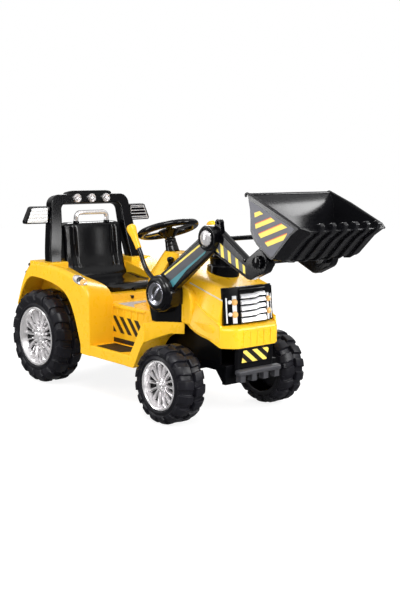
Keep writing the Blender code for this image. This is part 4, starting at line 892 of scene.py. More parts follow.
def dashboard():
    """The console ahead of the driver, with its lever slot and switch well."""
    stations = smooth_line(DASH_STATIONS, 4)
    inner = []
    for i, (z, rear, front, half, front_half) in enumerate(stations):
        drop = 0.05 if i == 0 else 0.007 if i == len(stations) - 1 else 0.003
        section = dash_section(z - drop, rear, front, half, front_half, WALL)
        inner.append([(x if x < front - 0.001 else 0.6, y, level) for x, y, level in section])
    collar = rod(0.0222, WHEEL_CENTRE + column_down(0.02), WHEEL_CENTRE + column_down(0.095))
    slot = box((0.474, -0.073, 0.4), (0.512, -0.049, 0.5))
    well = box((0.33, -0.0118, 0.365), (0.37, 0.0118, 0.385))
    shell = cut(loft([dash_section(*station) for station in stations]), loft(inner), collar, slot, well)
    piece("console", softened([shell], 0.0025), YELLOW, "root", "body_yellow", "dashboard")
    keep_node("power_button", SATIN_BLACK, 0.001)


def gear_knob():
    knob = turned([
        (0, 0.036), (0.005, 0.0356), (0.0088, 0.034), (0.0108, 0.031), (0.0112, 0.027), (0.01, 0.022),
        (0.0078, 0.018), (0.0056, 0.014), (0.005, 0.01), (0.005, -0.01), (0, -0.01),
    ], 32, at(0.493, -0.061, 0.428))
    piece("gear_knob", knob, GLOSS_BLACK, "gear_lever", "gloss_black", "gear_lever")


# Stickers and small trim on the body
def outline_plate(points, base, lift, side):
    """A thin plate on a side wall: (x, z) points, from just inside the wall to lift outside it."""
    return prism(points, *pair(side, base - 0.0015, base + lift))


def body_trim():
    for word, side in SIDES:
        slashes = [[(x, 0.2605), (x + 0.0185, 0.26), (x + 0.0655, 0.2075), (x + 0.046, 0.2075)]
                   for x in (0.2895, 0.327, 0.366)]
        slashes.append([(0.403, 0.259), (0.4225, 0.2585), (0.443, 0.234), (0.43, 0.225)])
        slashes.append([(0.2895, 0.233), (0.312, 0.2085), (0.294, 0.2085)])
        piece(f"tunnel_stripes_{word}", [outline_plate(line, TUNNEL_OUT, 0.0008, side) for line in slashes],
              STICKER_BLACK)
        vent = outline_plate([(0.298, 0.1895), (0.406, 0.1895), (0.406, 0.175), (0.298, 0.175)], TUNNEL_OUT,
                             0.001, side)
        piece(f"tunnel_vent_{word}", rounded(vent, 0.0004, 1), STICKER_BLACK)
        mat = plan_prism([(0.318, 0.142), (0.47, 0.142), (0.44, 0.214), (0.318, 0.214)], side,
                         FLOOR_Z - 0.001, FLOOR_Z + 0.0016)
        piece(f"floor_mat_{word}", rounded(mat, 0.0006, 2), MAT_BLACK)
        slots = []
        for i in range(3):
            for j in range(2):
                x, y = 0.476 + 0.012 * i + 0.008 * j, side * (0.1145 + 0.0105 * j)
                slots.append(box((x, y - 0.003, TUNNEL_Z - 0.001),
                                 (x + 0.0065, y + 0.003, TUNNEL_Z + 0.0006)))
        piece(f"speaker_slots_{word}", slots, STICKER_BLACK)
        marker(word, side)
        caps = [ball((x, side * 0.212, z), (0.0095, 0.006, 0.0065))
                for x, z in ((-0.074, 0.3935), (-0.093, 0.365))]
        piece(f"tail_caps_{word}", caps, GLOSS_BLACK)
    tread = prism([(0.303, -0.118), (0.303, 0.118), (0.333, 0.118), (0.333, 0.055), (0.3325, -0.045),
                   (0.352, -0.095), (0.396, -0.124), (0.34, -0.124)],
                  TUNNEL_Z - 0.001, TUNNEL_Z + 0.0009, "z")
    piece("tread_plate_panel", tread, TREAD_PLATE)
    socket = box((0.244, -0.029, 0.301), (0.2575, -0.019, 0.311))
    piece("charge_socket", rounded(socket, 0.0008, 1), STICKER_BLACK)


def marker(word, side):
    """The clear and amber marker lamp let into the fender's front slope."""
    slope = about("Y", math.radians(14)) @ about("X", side * math.radians(-38))
    for part, x, y, z, radii, steps, look in (
            ("bezel", 0.0, 0.0, 0.0, (0.0385, 0.015, 0.01), 28, CHROME),
            ("glass", 0.006, 0.0018, 0.0012, (0.015, 0.0125, 0.0099), 24, MARKER_DARK),
            ("amber", 0.022, 0.0018, -0.003, (0.0115, 0.012, 0.0096), 24, AMBER)):
        place = (0.224 + x, side * (0.2145 + y), 0.3715 + z)
        piece(f"marker_{part}_{word}", ball(place, radii, slope, steps), look)


# Seat, handle and roll bar
def quarter_gap(radius, depth):
    """How far a quarter round of that radius falls back at the depth."""
    return radius - math.sqrt(max(radius ** 2 - max(0.0, depth) ** 2, 0))


def back_relief(y, z, height):
    """How far the backrest's face stands out at a place: a centre panel, side bands and grooves between."""
    edge = min(1.0, max(0.0, (z - 0.028) / 0.01)) * min(1.0, max(0.0, (height - 0.012 - z) / 0.012))
    a = abs(y)
    groove = math.exp(-((a - 0.09) / 0.0034) ** 2) * 0.0048 + math.exp(-((a - 0.077) / 0.0034) ** 2) * 0.0042
    hollow = 0.0015 * math.exp(-(y / 0.04) ** 2)
    return (0.0008 - groove - hollow) * edge


def backrest():
    """The backrest, level by level: its face leans back, and its foot comes forward as a lip."""
    low_z, height = 0.348, 0.1885
    sections = []
    for i in range(37):
        z = height * i / 36
        share = z / height
        half = 0.1255 - 0.004 * share - quarter_gap(0.016, z - (height - 0.016))
        thin = quarter_gap(0.007, z - (height - 0.007))
        lip = 0.0085 / (1 + math.exp((z - 0.024) / 0.003)) + 0.008 / (1 + math.exp((z - 0.056) / 0.01))
        face = 0.0175 - 0.0235 * share + lip - thin
        rear = -0.0093 - 0.0317 * share + thin
        front = []
        for k in range(61):
            y = -half + 2 * half * k / 60
            x = face - quarter_gap(0.008, abs(y) - (half - 0.008))
            front.append((x + back_relief(y, z, height), y, low_z + z))
        sections.append(front + [(rear, half * 0.97, low_z + z), (rear, -half * 0.97, low_z + z)])
    deck = prism([(-0.13, 0.25), (-0.13, DECK_Z + 0.0003), (0.0125, DECK_Z + 0.0003), (0.0245, 0.3303),
                  (0.0245, 0.25)], -0.14, 0.14)
    piece("backrest", cut(loft(sections), deck), GLOSS_BLACK, "root", "gloss_black", "seat_back", sharp=50)


def seat():
    """The hinged seat pan, the moulded backrest, and its carry handle."""
    pan = prism([
        (0.05, 0.335), (0.205, 0.329), (0.2285, 0.3245), (0.2315, 0.33), (0.23, 0.338), (0.2215, 0.3455),
        (0.195, 0.349), (0.13, 0.348), (0.1, 0.352), (0.064, 0.357), (0.042, 0.357), (0.042, 0.345),
    ], -0.127, 0.127)
    corner = smooth_line([(0.18, 0.1275), (0.204, 0.122), (0.221, 0.108), (0.234, 0.07)], 4)
    corner += [(0.245, 0.07), (0.245, 0.135), (0.18, 0.135)]
    for _, side in SIDES:
        pan = cut(pan, plan_prism(corner, side, 0.3, 0.37))
    parts = [rounded(pan, 0.0038)]
    for _, side in SIDES:
        parts.append(tube([(0.062, side * 0.108, 0.3555), (0.13, side * 0.108, 0.347),
                           (0.196, side * 0.104, 0.348)], 0.0032, 10))
    piece("seat_pan_cover", parts, GLOSS_BLACK, "seat_pan", "satin_black", "seat_pan")
    keep_node("seat_latch", SATIN_BLACK, 0.0008)
    backrest()
    foot, half, rise = Vector((-0.0134, 0, 0.5372)), 0.065, 0.033
    bend = arc((half - 0.017, rise - 0.017), 0.017, 0, 90, 8)
    path = [foot + Vector((0, y, z)) for y, z in mirror([(half, -0.001), (half, 0.009)] + bend)]
    piece("carry_handle", tube(path, 0.0079, 20), CHROME, "root", "chrome", "seat_handle")
    profile = [(0.007, 0.0), (0.0105, 0.0), (0.0108, 0.004), (0.0092, 0.0085), (0.007, 0.009)]
    ferrules = [turned(profile, 24, Matrix.Translation(foot + Vector((0, side * half, -0.004))))
                for _, side in SIDES]
    piece("handle_ferrules", ferrules, GLOSS_BLACK)


def roll_bar():
    """The hoop behind the seat with its lamp bar, roof lamps and side lamps."""
    outer = smooth_line([(0.193, 0.0), (0.1895, 0.045), (0.1795, 0.11), (0.1665, 0.182)], 3)
    outer += arc((0.1285, 0.1985), 0.036, 8, 90, 9)
    inner = arc((0.105, 0.181), 0.021, 90, 4, 8)
    inner += smooth_line([(0.128, 0.15), (0.1345, 0.09), (0.148, 0.0)], 3)
    left_inner = [(-y, z) for y, z in reversed(inner)]
    hoop = prism(mirror(outer) + left_inner + inner, -ROLL_DEPTH / 2 - 0.003, ROLL_DEPTH / 2 + 0.002, "x")
    lean = about("Y", -ROLL_LEAN)
    hoop = moved(rounded(hoop, 0.0048, 4, 50), Matrix.Translation(ROLL_FOOT) @ lean)
    hoop = cut(hoop, box((-0.1, -0.3, 0.35), (0.1, 0.3, PAD_Z + 0.0003)))
    piece("hoop", hoop, GLOSS_BLACK, "root", "gloss_black", "roll_bar")

    top = ROLL_FOOT + Vector((-math.sin(ROLL_LEAN), 0, math.cos(ROLL_LEAN))) * 0.2345
    turn = Matrix.Translation(top) @ lean
    bar = mirror([(0.094, -0.002), (0.0925, 0.0065), (0.086, 0.0105), (0.07, 0.0125)])
    bar = rounded(prism(bar, -0.015, 0.015, "x"), 0.0025)
    panel = mirror([(0.084, -0.029), (0.088, -0.006), (0.08, 0.002)])
    panel = rounded(prism(panel, 0.012, ROLL_DEPTH / 2 + 0.0022, "x"), 0.0015, 2)
    piece("lamp_bar", moved(merged([bar, panel]), turn), GLOSS_BLACK, "root", "gloss_black", "light_bar")
    chrome, glass = [], []
    for y in (-0.061, 0.0, 0.061):
        on = (turn @ at(ROLL_DEPTH / 2 + 0.0005, y, -0.0155) @ about("Y", math.pi / 2)
              @ Matrix.Diagonal((1.12, 1.12, 1, 1)))
        chrome.append(turned([(0.0128, 0.0), (0.0134, 0.006), (0.0126, 0.0105), (0.0112, 0.0112),
                              (0.0098, 0.0085), (0.006, 0.004), (0.006, 0.0)], 36, on))
        chrome.append(turned([(0, 0.01), (0.0026, 0.0092), (0.004, 0.006), (0.004, 0.0), (0, 0.0)], 20, on))
        for a in ring_angles(4, 0.5):
            ray = box((0.003, -0.0011, 0.0035), (0.0105, 0.0011, 0.0088))
            chrome.append(moved(ray, on @ about("Z", a)))
        glass.append(turned([(0.0, 0.0022), (0.0105, 0.0022), (0.0105, 0.0), (0, 0.0)], 32, on))
    piece("roof_lamp_rings", chrome, CHROME, "root", "chrome", "roof_lamps")
    piece("roof_lamp_wells", glass, STICKER_BLACK)
    for word, side in SIDES:
        side_lamp(word, side)


def side_lamp(word, side):
    """A wedge-shaped lamp on the hoop's side: black case, bright frame and slats; the right one's white frame
    and wide slats are a painted reflection.
    """
    def across_x(points, low, high):
        return prism([(side * y, z) for y, z in points], low, high, "x")

    case = across_x([(0.1655, 0.536), (0.262, 0.537), (0.2645, 0.545), (0.2425, 0.592), (0.236, 0.5945),
                     (0.1665, 0.594)], -0.041, -0.019)
    window = across_x([(0.179, 0.541), (0.2555, 0.5418), (0.236, 0.5885), (0.1775, 0.5885)], -0.0215, -0.01)
    piece(f"side_lamp_case_{word}", cut(rounded(case, 0.0035), window), GLOSS_BLACK, "root", "gloss_black",
          f"side_lamp_{word}")
    # The right lamp's white frame and slats nearly fill its window. That pale look is a painted reflection,
    # and the left lamp keeps narrow chrome slats in a dark window.
    slat_share = 0.9 if side < 0 else 0.26
    pitch = 0.0113
    bright = []
    if side < 0:
        bright.append(across_x([(0.18, 0.5418), (0.254, 0.5425), (0.235, 0.588), (0.178, 0.588)],
                               -0.0212, -0.0196))
    for i in range(4):
        z = 0.5425 + i * pitch + (1 - slat_share) * pitch / 2
        end = 0.2545 - (z - 0.5418) * 0.415
        bright.append(prism([
            (-0.022, z), (-0.018, z + 0.0006), (-0.0172, z + slat_share * pitch * 0.5),
            (-0.018, z + slat_share * pitch), (-0.022, z + slat_share * pitch),
        ], *pair(side, 0.18, end)))
    rim = [(0.1785, 0.5415), (0.256, 0.5422), (0.2365, 0.5882), (0.178, 0.5882), (0.1785, 0.5415)]
    for (y0, z0), (y1, z1) in zip(rim, rim[1:]):
        bright.append(tube([(-0.0192, side * y0, z0), (-0.0192, side * y1, z1)], 0.0015, 8))
    piece(f"side_lamp_slats_{word}", bright, LENS_WHITE_AND_PAINTED_HIGHLIGHT if side < 0 else CHROME)


# Steering
def steering():
    """Wheel with a thick rim, four spokes and a boss, and the fixed sleeve below it."""
    lean = about("Y", -COLUMN_TILT)
    tilt = Matrix.Translation(WHEEL_CENTRE) @ lean
    grip = [(RIM_R + RIM_TUBE * math.cos(a) * 0.98, RIM_TUBE * math.sin(a) * 0.92) for a in ring_angles(20)]
    parts = [turned(grip, 80)]
    parts.append(turned([
        (0.017, 0.001), (0.023, 0.0015), (0.031, -0.001), (0.0345, -0.0055), (0.033, -0.0095),
        (0.024, -0.019), (0.0175, -0.0265), (0.0165, -0.0285), (0.007, -0.0285), (0.007, -0.012),
        (0.017, -0.012),
    ]))
    for angle in (35, 145, 215, 325):
        sections = []
        for share in (0.0, 0.25, 0.5, 0.75, 1.0):
            r = 0.026 + (RIM_R - 0.004 - 0.026) * share
            half = 0.0125 - 0.0035 * math.sin(math.pi * share)
            drop = -0.0048 + 0.0026 * share
            sections.append([
                (r, -half, drop - 0.0035), (r, -half * 0.9, drop + 0.0015), (r, -half * 0.5, drop + 0.0032),
                (r, half * 0.5, drop + 0.0032), (r, half * 0.9, drop + 0.0015), (r, half, drop - 0.0035)])
        parts.append(rounded(moved(loft(sections), about("Z", math.radians(angle))), 0.001, 2, 30))
    piece("wheel_rim", moved(merged(parts), tilt), GLOSS_BLACK, "steering", "gloss_black", "steering_wheel")
    button = turned([(0, 0.0052), (0.006, 0.0049), (0.0115, 0.004), (0.015, 0.0018), (0.016, -0.001),
                     (0.016, -0.006), (0, -0.006)], 40, tilt)
    piece("horn_pad", button, YELLOW, "horn", "body_yellow", "horn_button")
    sleeve = turned([
        (0.0076, 0.0), (0.0165, 0.0), (0.0176, -0.0016), (0.018, -0.009), (0.0172, -0.0105), (0.0182, -0.012),
        (0.0196, -0.024), (0.0188, -0.0255), (0.02, -0.027), (0.0214, -0.042), (0.0076, -0.042),
    ], 48, Matrix.Translation(WHEEL_CENTRE + column_down(0.031)) @ lean)
    piece("column_sleeve", sleeve, GLOSS_BLACK, "root", "gloss_black", "steering_column")
    keep_node("steering_shaft", STEEL, 0.0006)


# Loader
def taper_y(x):
    """How far out the boom's face is at x."""
    t = (x - LIFT.x) / (ELBOW.x - LIFT.x)
    return BOOM_OUT + (ELBOW_OUT - BOOM_OUT) * t


def on_boom(obj, side):
    """Moves a solid built against y = 0 out to the boom's tapering face."""
    for vertex in obj.data.vertices:
        vertex.co.y = side * (taper_y(vertex.co.x) + vertex.co.y)
    bm = bmesh.new()
    bm.from_mesh(obj.data)
    return new_object(bm)


def capsule(start, end, start_r, end_r):
    """The outline round two circles of unlike radius, as (x, z) points."""
    run = end - start
    heading = math.degrees(math.atan2(run.z, run.x))
    flare = math.degrees(math.asin((start_r - end_r) / run.length))
    return (arc_about(start, start_r, heading + 90 - flare, heading + 270 + flare, 18)
            + arc_about(end, end_r, heading - 90 + flare, heading + 90 - flare, 9))


LEVER_PATH = ((0.553, 0.395), (0.5432, 0.4035), (0.521, 0.419), (0.503, 0.434), (0.488, 0.455),
              (0.476, 0.478), (0.4665, 0.4925))
GRIP_FOOT = Vector((0.4661, 0, 0.4932))
GRIP_TOP = Vector((0.4225, 0, 0.561))


def booms():
    """The lower arms: rounded beam, round housing with its lamp, elbow boss and hand lever."""
    shift = Vector((0, 0, 0.017))
    beam = capsule(LIFT + shift, ELBOW - shift, 0.034, 0.032)
    inner = capsule(LIFT + shift, ELBOW - shift, 0.0275, 0.0255)
    out = HOUSING_OUT
    for word, side in SIDES:
        plate = prism(beam, FOREARM_OUT + 0.0003 - BOOM_OUT, 0.0)
        for vertex in plate.data.vertices:
            if vertex.co.y < -0.01:
                vertex.co.y = FOREARM_OUT + 0.0004 - taper_y(vertex.co.x)
        well = prism(inner, -0.0016, 0.004)
        plate = cut(rounded(on_boom(plate, side), 0.004, 3, 50), on_boom(well, side))
        hub_matrix = across(side, (LIFT.x, 0, LIFT.z))
        housing = turned([
            (0.0127, FOREARM_OUT + 0.0008), (0.0565, FOREARM_OUT + 0.0008), (0.0565, out - 0.012),
            (0.0555, out - 0.007), (0.0525, out - 0.002), (0.0495, out), (0.044, out), (0.043, out - 0.0006),
            (0.0127, out - 0.0006),
        ], 72, hub_matrix)
        groove = turned([(0.0566, out - 0.015), (0.06, out - 0.015), (0.06, out - 0.0125),
                         (0.0557, out - 0.0125)], 72, hub_matrix)
        boss = turned([
            (0.009, FOREARM_OUT + 0.0005), (0.037, FOREARM_OUT + 0.0005), (0.037, ELBOW_OUT - 0.001),
            (0.035, ELBOW_OUT + 0.0026), (0.0325, ELBOW_OUT + 0.0034), (0.009, ELBOW_OUT + 0.0034),
        ], 56, across(side, (ELBOW.x, 0, ELBOW.z)))
        lever = tube([(x, side * LEVER_Y, z) for x, z in smooth_line(LEVER_PATH, 4)], 0.007)
        piece(f"boom_arm_{word}", [plate, cut(housing, groove), boss, lever], ARM_BLACK, "loader_arms",
              "gloss_black", f"boom_{word}")
        boom_stickers(word, side)
        pivot_lamp(word, side)
        run = GRIP_TOP - GRIP_FOOT
        long = run.length
        turn = Vector((0, 0, 1)).rotation_difference(run).to_matrix().to_4x4()
        grip = turned([
            (0, long), (0.007, long - 0.0002), (0.012, long - 0.002), (0.0155, long - 0.0055),
            (0.0165, long - 0.01), (0.016, long - 0.017), (0.0142, long - 0.026), (0.0118, long - 0.04),
            (0.0104, long - 0.056), (0.0098, long - 0.068), (0.0098, 0.002), (0.0092, 0.0), (0, 0.0),
        ], 32, at(GRIP_FOOT.x, side * LEVER_Y, GRIP_FOOT.z) @ turn @ Matrix.Diagonal((1.0, 0.86, 1.0, 1.0)))
        piece(f"grip_{word}", grip, YELLOW, "loader_arms", "body_yellow", f"lever_grip_{word}")


def pedestals():
    """The stands on the front wings: a cradle under each round housing, with the pivot pin above it."""
    for word, side in SIDES:
        plate = prism([(0.558, WING_TOP_Z), (0.636, WING_TOP_Z)] + arc_about(LIFT, 0.05, 5, 175, 14),
                      *pair(side, 0.1305, FOREARM_OUT - 0.0004))
        cradle = prism([(0.557, WING_TOP_Z), (0.618, WING_TOP_Z)] + arc_about(LIFT, 0.0576, -60, -142, 14),
                       *pair(side, 0.144, 0.184))
        trim = plan_prism([(0.562, 0.24), (0.566, 0.2), (0.58, 0.18), (0.64, 0.1245), (0.7, 0.12),
                           (0.7, 0.24)], side, 0.2, 0.34)
        pin = rod(0.012, (LIFT.x, side * 0.14, LIFT.z), (LIFT.x, side * 0.172, LIFT.z))
        stand = softened([cut(plate, trim), cut(cradle, trim)], 0.0025)
        piece(f"pedestal_{word}", [stand, pin], ARM_BLACK, "root", "satin_black", f"arm_pedestal_{word}")


def boom_stickers(word, side):
    """The long panel on the boom's outer face: a yellow line, a grey band and a teal wedge."""
    for part, look, outline in (
            ("line", STICKER_YELLOW, [(0.601, 0.43), (0.7475, 0.533), (0.75, 0.5285), (0.605, 0.426)]),
            ("band", STICKER_STEEL, [(0.605, 0.426), (0.75, 0.5285), (0.7655, 0.5125), (0.623, 0.4085)]),
            ("wedge", STICKER_TEAL, [(0.623, 0.4085), (0.7655, 0.5125), (0.763, 0.505), (0.693, 0.451),
                                     (0.634, 0.3905)])):
        plate = on_boom(prism(outline, -0.0025, -0.001), side)
        piece(f"boom_sticker_{part}_{word}", plate, look, "loader_arms")


def pivot_lamp(word, side):
    """The round lamp in the housing: bright bowl with a slanting bar across it."""
    matrix = across(side, (LIFT.x, side * (HOUSING_OUT + 0.0003), LIFT.z))
    bowl = turned([(0, 0.0006), (0.018, 0.0009), (0.026, 0.0022), (0.03, 0.0044), (0.0325, 0.005),
                   (0.0342, 0.0046), (0.0346, 0.002), (0.0346, 0.0), (0, 0.0)], 56, matrix)
    piece(f"pivot_bowl_{word}", bowl, SILVER, "loader_arms", "chrome", f"pivot_lamp_{word}")
    collar = turned([(0.0347, 0.0), (0.0347, 0.0044), (0.0362, 0.0062), (0.039, 0.0066), (0.0425, 0.0056),
                     (0.0462, 0.0028), (0.048, 0.0)], 56, matrix)
    piece(f"pivot_collar_{word}", collar, ARM_BLACK, "loader_arms")
    bar = []
    for share, half, top in ((0.0, 0.003, 0.004), (0.3, 0.0065, 0.0058), (0.7, 0.0075, 0.006),
                             (1.0, 0.004, 0.0046)):
        r = -0.027 + 0.052 * share
        bar.append([(r, -half, 0.0004), (r, -half * 0.6, top), (r, half * 0.6, top), (r, half, 0.0004)])
    blade = moved(loft(bar), matrix @ about("Z", math.radians(55 if side < 0 else 125)))
    shade = turned([(0, 0.0016), (0.0215, 0.0018), (0.0235, 0.001), (0, 0.001)], 40,
                   matrix @ at(0.004, 0.002, 0))
    piece(f"pivot_well_{word}", shade, MARKER_DARK, "loader_arms")
    piece(f"pivot_blade_{word}", rounded(blade, 0.0008, 2), SILVER, "loader_arms")


def forearm_solids(side):
    """The plate with its rim, the rolled beam on its top edge, the ear, the elbow's ring and a bump."""
    def bore(joint, radius):
        return rod(radius, (joint.x, side * 0.1, joint.z), (joint.x, side * 0.16, joint.z))

    foot_x, foot_z = 0.922, 0.446
    outline = (arc_about(ELBOW, 0.037, 75, 250, 14) + [(0.779, 0.5085), (foot_x, foot_z), (0.931, 0.4455)]
               + arc_about(WRIST, 0.035, -50, 100) + [(0.912, 0.5)])
    plate = rounded(prism(outline, *pair(side, FOREARM_IN, FOREARM_OUT - 0.0022)), 0.003, 3, 40)
    plate = cut(plate, bore(ELBOW, 0.009), bore(WRIST, 0.008))
    lower = [(0.7735, 0.511), (0.779, 0.509), (foot_x, foot_z + 0.003), (0.932, 0.448)]
    lower += arc_about(WRIST, 0.032, -50, 60, 8)
    rim = tube([(x, side * (FOREARM_OUT - 0.003), z) for x, z in lower], 0.003, 10)
    beam_line = smooth_line([(0.787, 0.5745), (0.8, 0.564), (0.85, 0.5325), (0.9, 0.501), (0.911, 0.496)], 3)
    beam = tube([(x, side * (FOREARM_IN + 0.0125), z - 0.0035) for x, z in beam_line], 0.0118)
    eye_x, eye_z = 0.797, 0.592
    ear = prism(arc((eye_x, eye_z), 0.0115, -10, 190) + [(0.776, 0.57), (0.815, 0.556)],
                *pair(side, 0.13, 0.1455))
    ear = cut(ear, rod(0.0042, (eye_x, side * 0.12, eye_z), (eye_x, side * 0.15, eye_z)))
    ring = turned([(0.0305, FOREARM_OUT - 0.004), (0.0368, FOREARM_OUT - 0.004),
                   (0.0368, FOREARM_OUT - 0.0006), (0.0305, FOREARM_OUT - 0.0006)], 48,
                  across(side, (ELBOW.x, 0, ELBOW.z)))
    bump = ball((0.9085, side * (FOREARM_OUT - 0.004), 0.4975), (0.0075, 0.004, 0.0075))
    return [plate, rim, beam, rounded(ear, 0.0015, 2), ring, bump]


def forearms():
    """The upper arms with their sticker panels, elbow caps and the wrist's rod."""
    for word, side in SIDES:
        piece(f"forearm_arm_{word}", forearm_solids(side), ARM_BLACK, "loader_forearms", "gloss_black",
              f"forearm_{word}")
        panel = [(0.799, 0.5415), (0.914, 0.479), (0.9125, 0.459), (0.782, 0.514), (0.789, 0.529)]
        piece(f"forearm_panel_{word}", prism(panel, *pair(side, FOREARM_OUT - 0.003, FOREARM_OUT - 0.0016)),
              STICKER_PANEL, "loader_forearms")
        bands = []
        for x_top, x_low, width, top_z, low_z in (
                (0.788, 0.793, 0.011, 0.524, 0.5125), (0.8085, 0.814, 0.0125, 0.5355, 0.4995),
                (0.8395, 0.8445, 0.011, 0.5195, 0.4872), (0.8715, 0.876, 0.0105, 0.502, 0.4745),
                (0.901, 0.904, 0.0085, 0.486, 0.4633)):
            band = [(x_top, top_z), (x_top + width, top_z - width * 0.5),
                    (x_low + width, low_z - width * 0.38), (x_low, low_z)]
            bands.append(prism(band, *pair(side, FOREARM_OUT - 0.0028, FOREARM_OUT - 0.0009)))
        piece(f"forearm_bands_{word}", bands, STICKER_YELLOW, "loader_forearms")
        rivet = ball((0.9085, side * (FOREARM_OUT - 0.0012), 0.4985), (0.0024, 0.0014, 0.0024), steps=16)
        piece(f"forearm_rivet_{word}", rivet, CHROME, "loader_forearms")
        elbow_cap(word, side)
    keep_node("cross_tube", ARM_BLACK, 0.0012)
    knob_out = FOREARM_OUT + 0.01
    end = [(0, knob_out), (0.0125, knob_out - 0.0002), (0.0158, knob_out - 0.002), (0.017, knob_out - 0.005),
           (0.017, FOREARM_OUT + 0.0005), (0.0071, FOREARM_OUT + 0.0005)]
    parts = [turned(end + [(r, -h) for r, h in reversed(end)], 40, across(1, WRIST))]
    for _, side in SIDES:
        for a in ring_angles(12):
            x, z = WRIST.x + 0.0158 * math.cos(a), WRIST.z + 0.0158 * math.sin(a)
            parts.append(rod(0.0026, (x, side * (FOREARM_OUT + 0.0008), z),
                             (x, side * (knob_out - 0.0012), z), 10))
    piece("wrist_rod", parts, GLOSS_BLACK, "loader_forearms", "satin_black", "wrist_shaft")


def elbow_cap(word, side):
    """The chrome dome on the elbow pin, in its dark toothed ring."""
    place = across(side, (ELBOW.x, side * (ELBOW_OUT + 0.0034), ELBOW.z))
    pin = turned([(0, 0.0096), (0.008, 0.0092), (0.0155, 0.0076), (0.021, 0.0046), (0.0238, 0.0008),
                  (0.0082, 0.0005), (0.0082, -0.0454), (0, -0.0454)], 40, place)
    piece(f"elbow_dome_{word}", pin, CHROME, "loader_forearms", "chrome", f"elbow_pin_{word}")
    ring = [turned([(0.024, 0.0005), (0.0305, 0.0005), (0.0305, 0.0022), (0.028, 0.0038), (0.024, 0.003)], 48,
                   place)]
    for a in ring_angles(14):
        tooth = rounded(box((0.0228, -0.002, 0.0008), (0.0275, 0.002, 0.005)), 0.0008, 1)
        ring.append(moved(tooth, place @ about("Z", a)))
    piece(f"elbow_ring_{word}", ring, GLOSS_BLACK, "loader_forearms")


# The bucket's sheet and its cheeks share the line down the back
BUCKET_BACK = ((0.936, 0.681), (0.9465, 0.65), (0.95, 0.615), (0.951, 0.582), (0.9605, 0.563), (0.977, 0.546),
               (1.024, 0.514))
BUCKET_SIDE = BUCKET_BACK + ((1.036, 0.5095), (1.05, 0.508), (1.061, 0.5105), (1.07, 0.516), (1.122, 0.57),
                             (1.152, 0.591))
BUCKET_CHEEK = BUCKET_BACK + ((1.03, 0.5125), (1.036, 0.512), (1.041, 0.515), (1.05, 0.5255), (1.1, 0.58),
                              (1.129, 0.601))
TEETH = 6
TOOTH_PITCH = 0.0456


def drawn_in(points, distance):
    """Moves an open outline to its left by the distance."""
    made = []
    last = len(points) - 1
    for i, (x, z) in enumerate(points):
        run = (Vector(points[min(i + 1, last)]) - Vector(points[max(i - 1, 0)])).normalized()
        made.append((x - run.y * distance, z + run.x * distance))
    return made


def bucket_shell(cheek_y):
    """The curved sheet with its chamfered cheeks."""
    slabs = ((-BUCKET_HALF, BUCKET_CHEEK), (-cheek_y, BUCKET_SIDE), (cheek_y, BUCKET_SIDE),
             (BUCKET_HALF, BUCKET_CHEEK))
    wall = 0.005
    inner = []
    for y, line in slabs:
        inside = drawn_in(line, wall)
        (first_x, first_z), (last_x, last_z) = inside[0], inside[-1]
        room = [(first_x - 0.03, first_z + 0.06)] + inside[1:-1] + [(last_x + 0.05, last_z + 0.028),
                                                                    (last_x + 0.05, 0.76)]
        inner.append([(x, y - math.copysign(wall, y), z) for x, z in room])
    return cut(loft([[(x, y, z) for x, z in line] for y, line in slabs]), loft(inner))


def bucket_ribs():
    """The ribs under the floor, each ending in a tooth ahead of the lip."""
    floor = [(1.04, 0.5085)] + list(BUCKET_SIDE[9:])
    tip = [(1.1605, 0.5985), (1.1625, 0.6075), (1.156, 0.614), (1.146, 0.612), (1.137, 0.603)]
    outline = drawn_in(floor, -0.0065) + tip + list(reversed(drawn_in(floor, 0.003)))
    ribs = []
    for i in range(TEETH):
        y = (i - (TEETH - 1) / 2) * TOOTH_PITCH
        rib = prism(outline, y - 0.0072, y + 0.0072)
        for vertex in rib.data.vertices:
            along = min(max((vertex.co.x - 1.045) / (1.115 - 1.045), 0.0), 1.0)
            narrow = 0.3 + 0.7 * math.sin(math.pi * 0.5 * along)
            vertex.co.y = y + (vertex.co.y - y) * narrow
        ribs.append(rounded(rib, 0.0018, 2, 40))
    return ribs


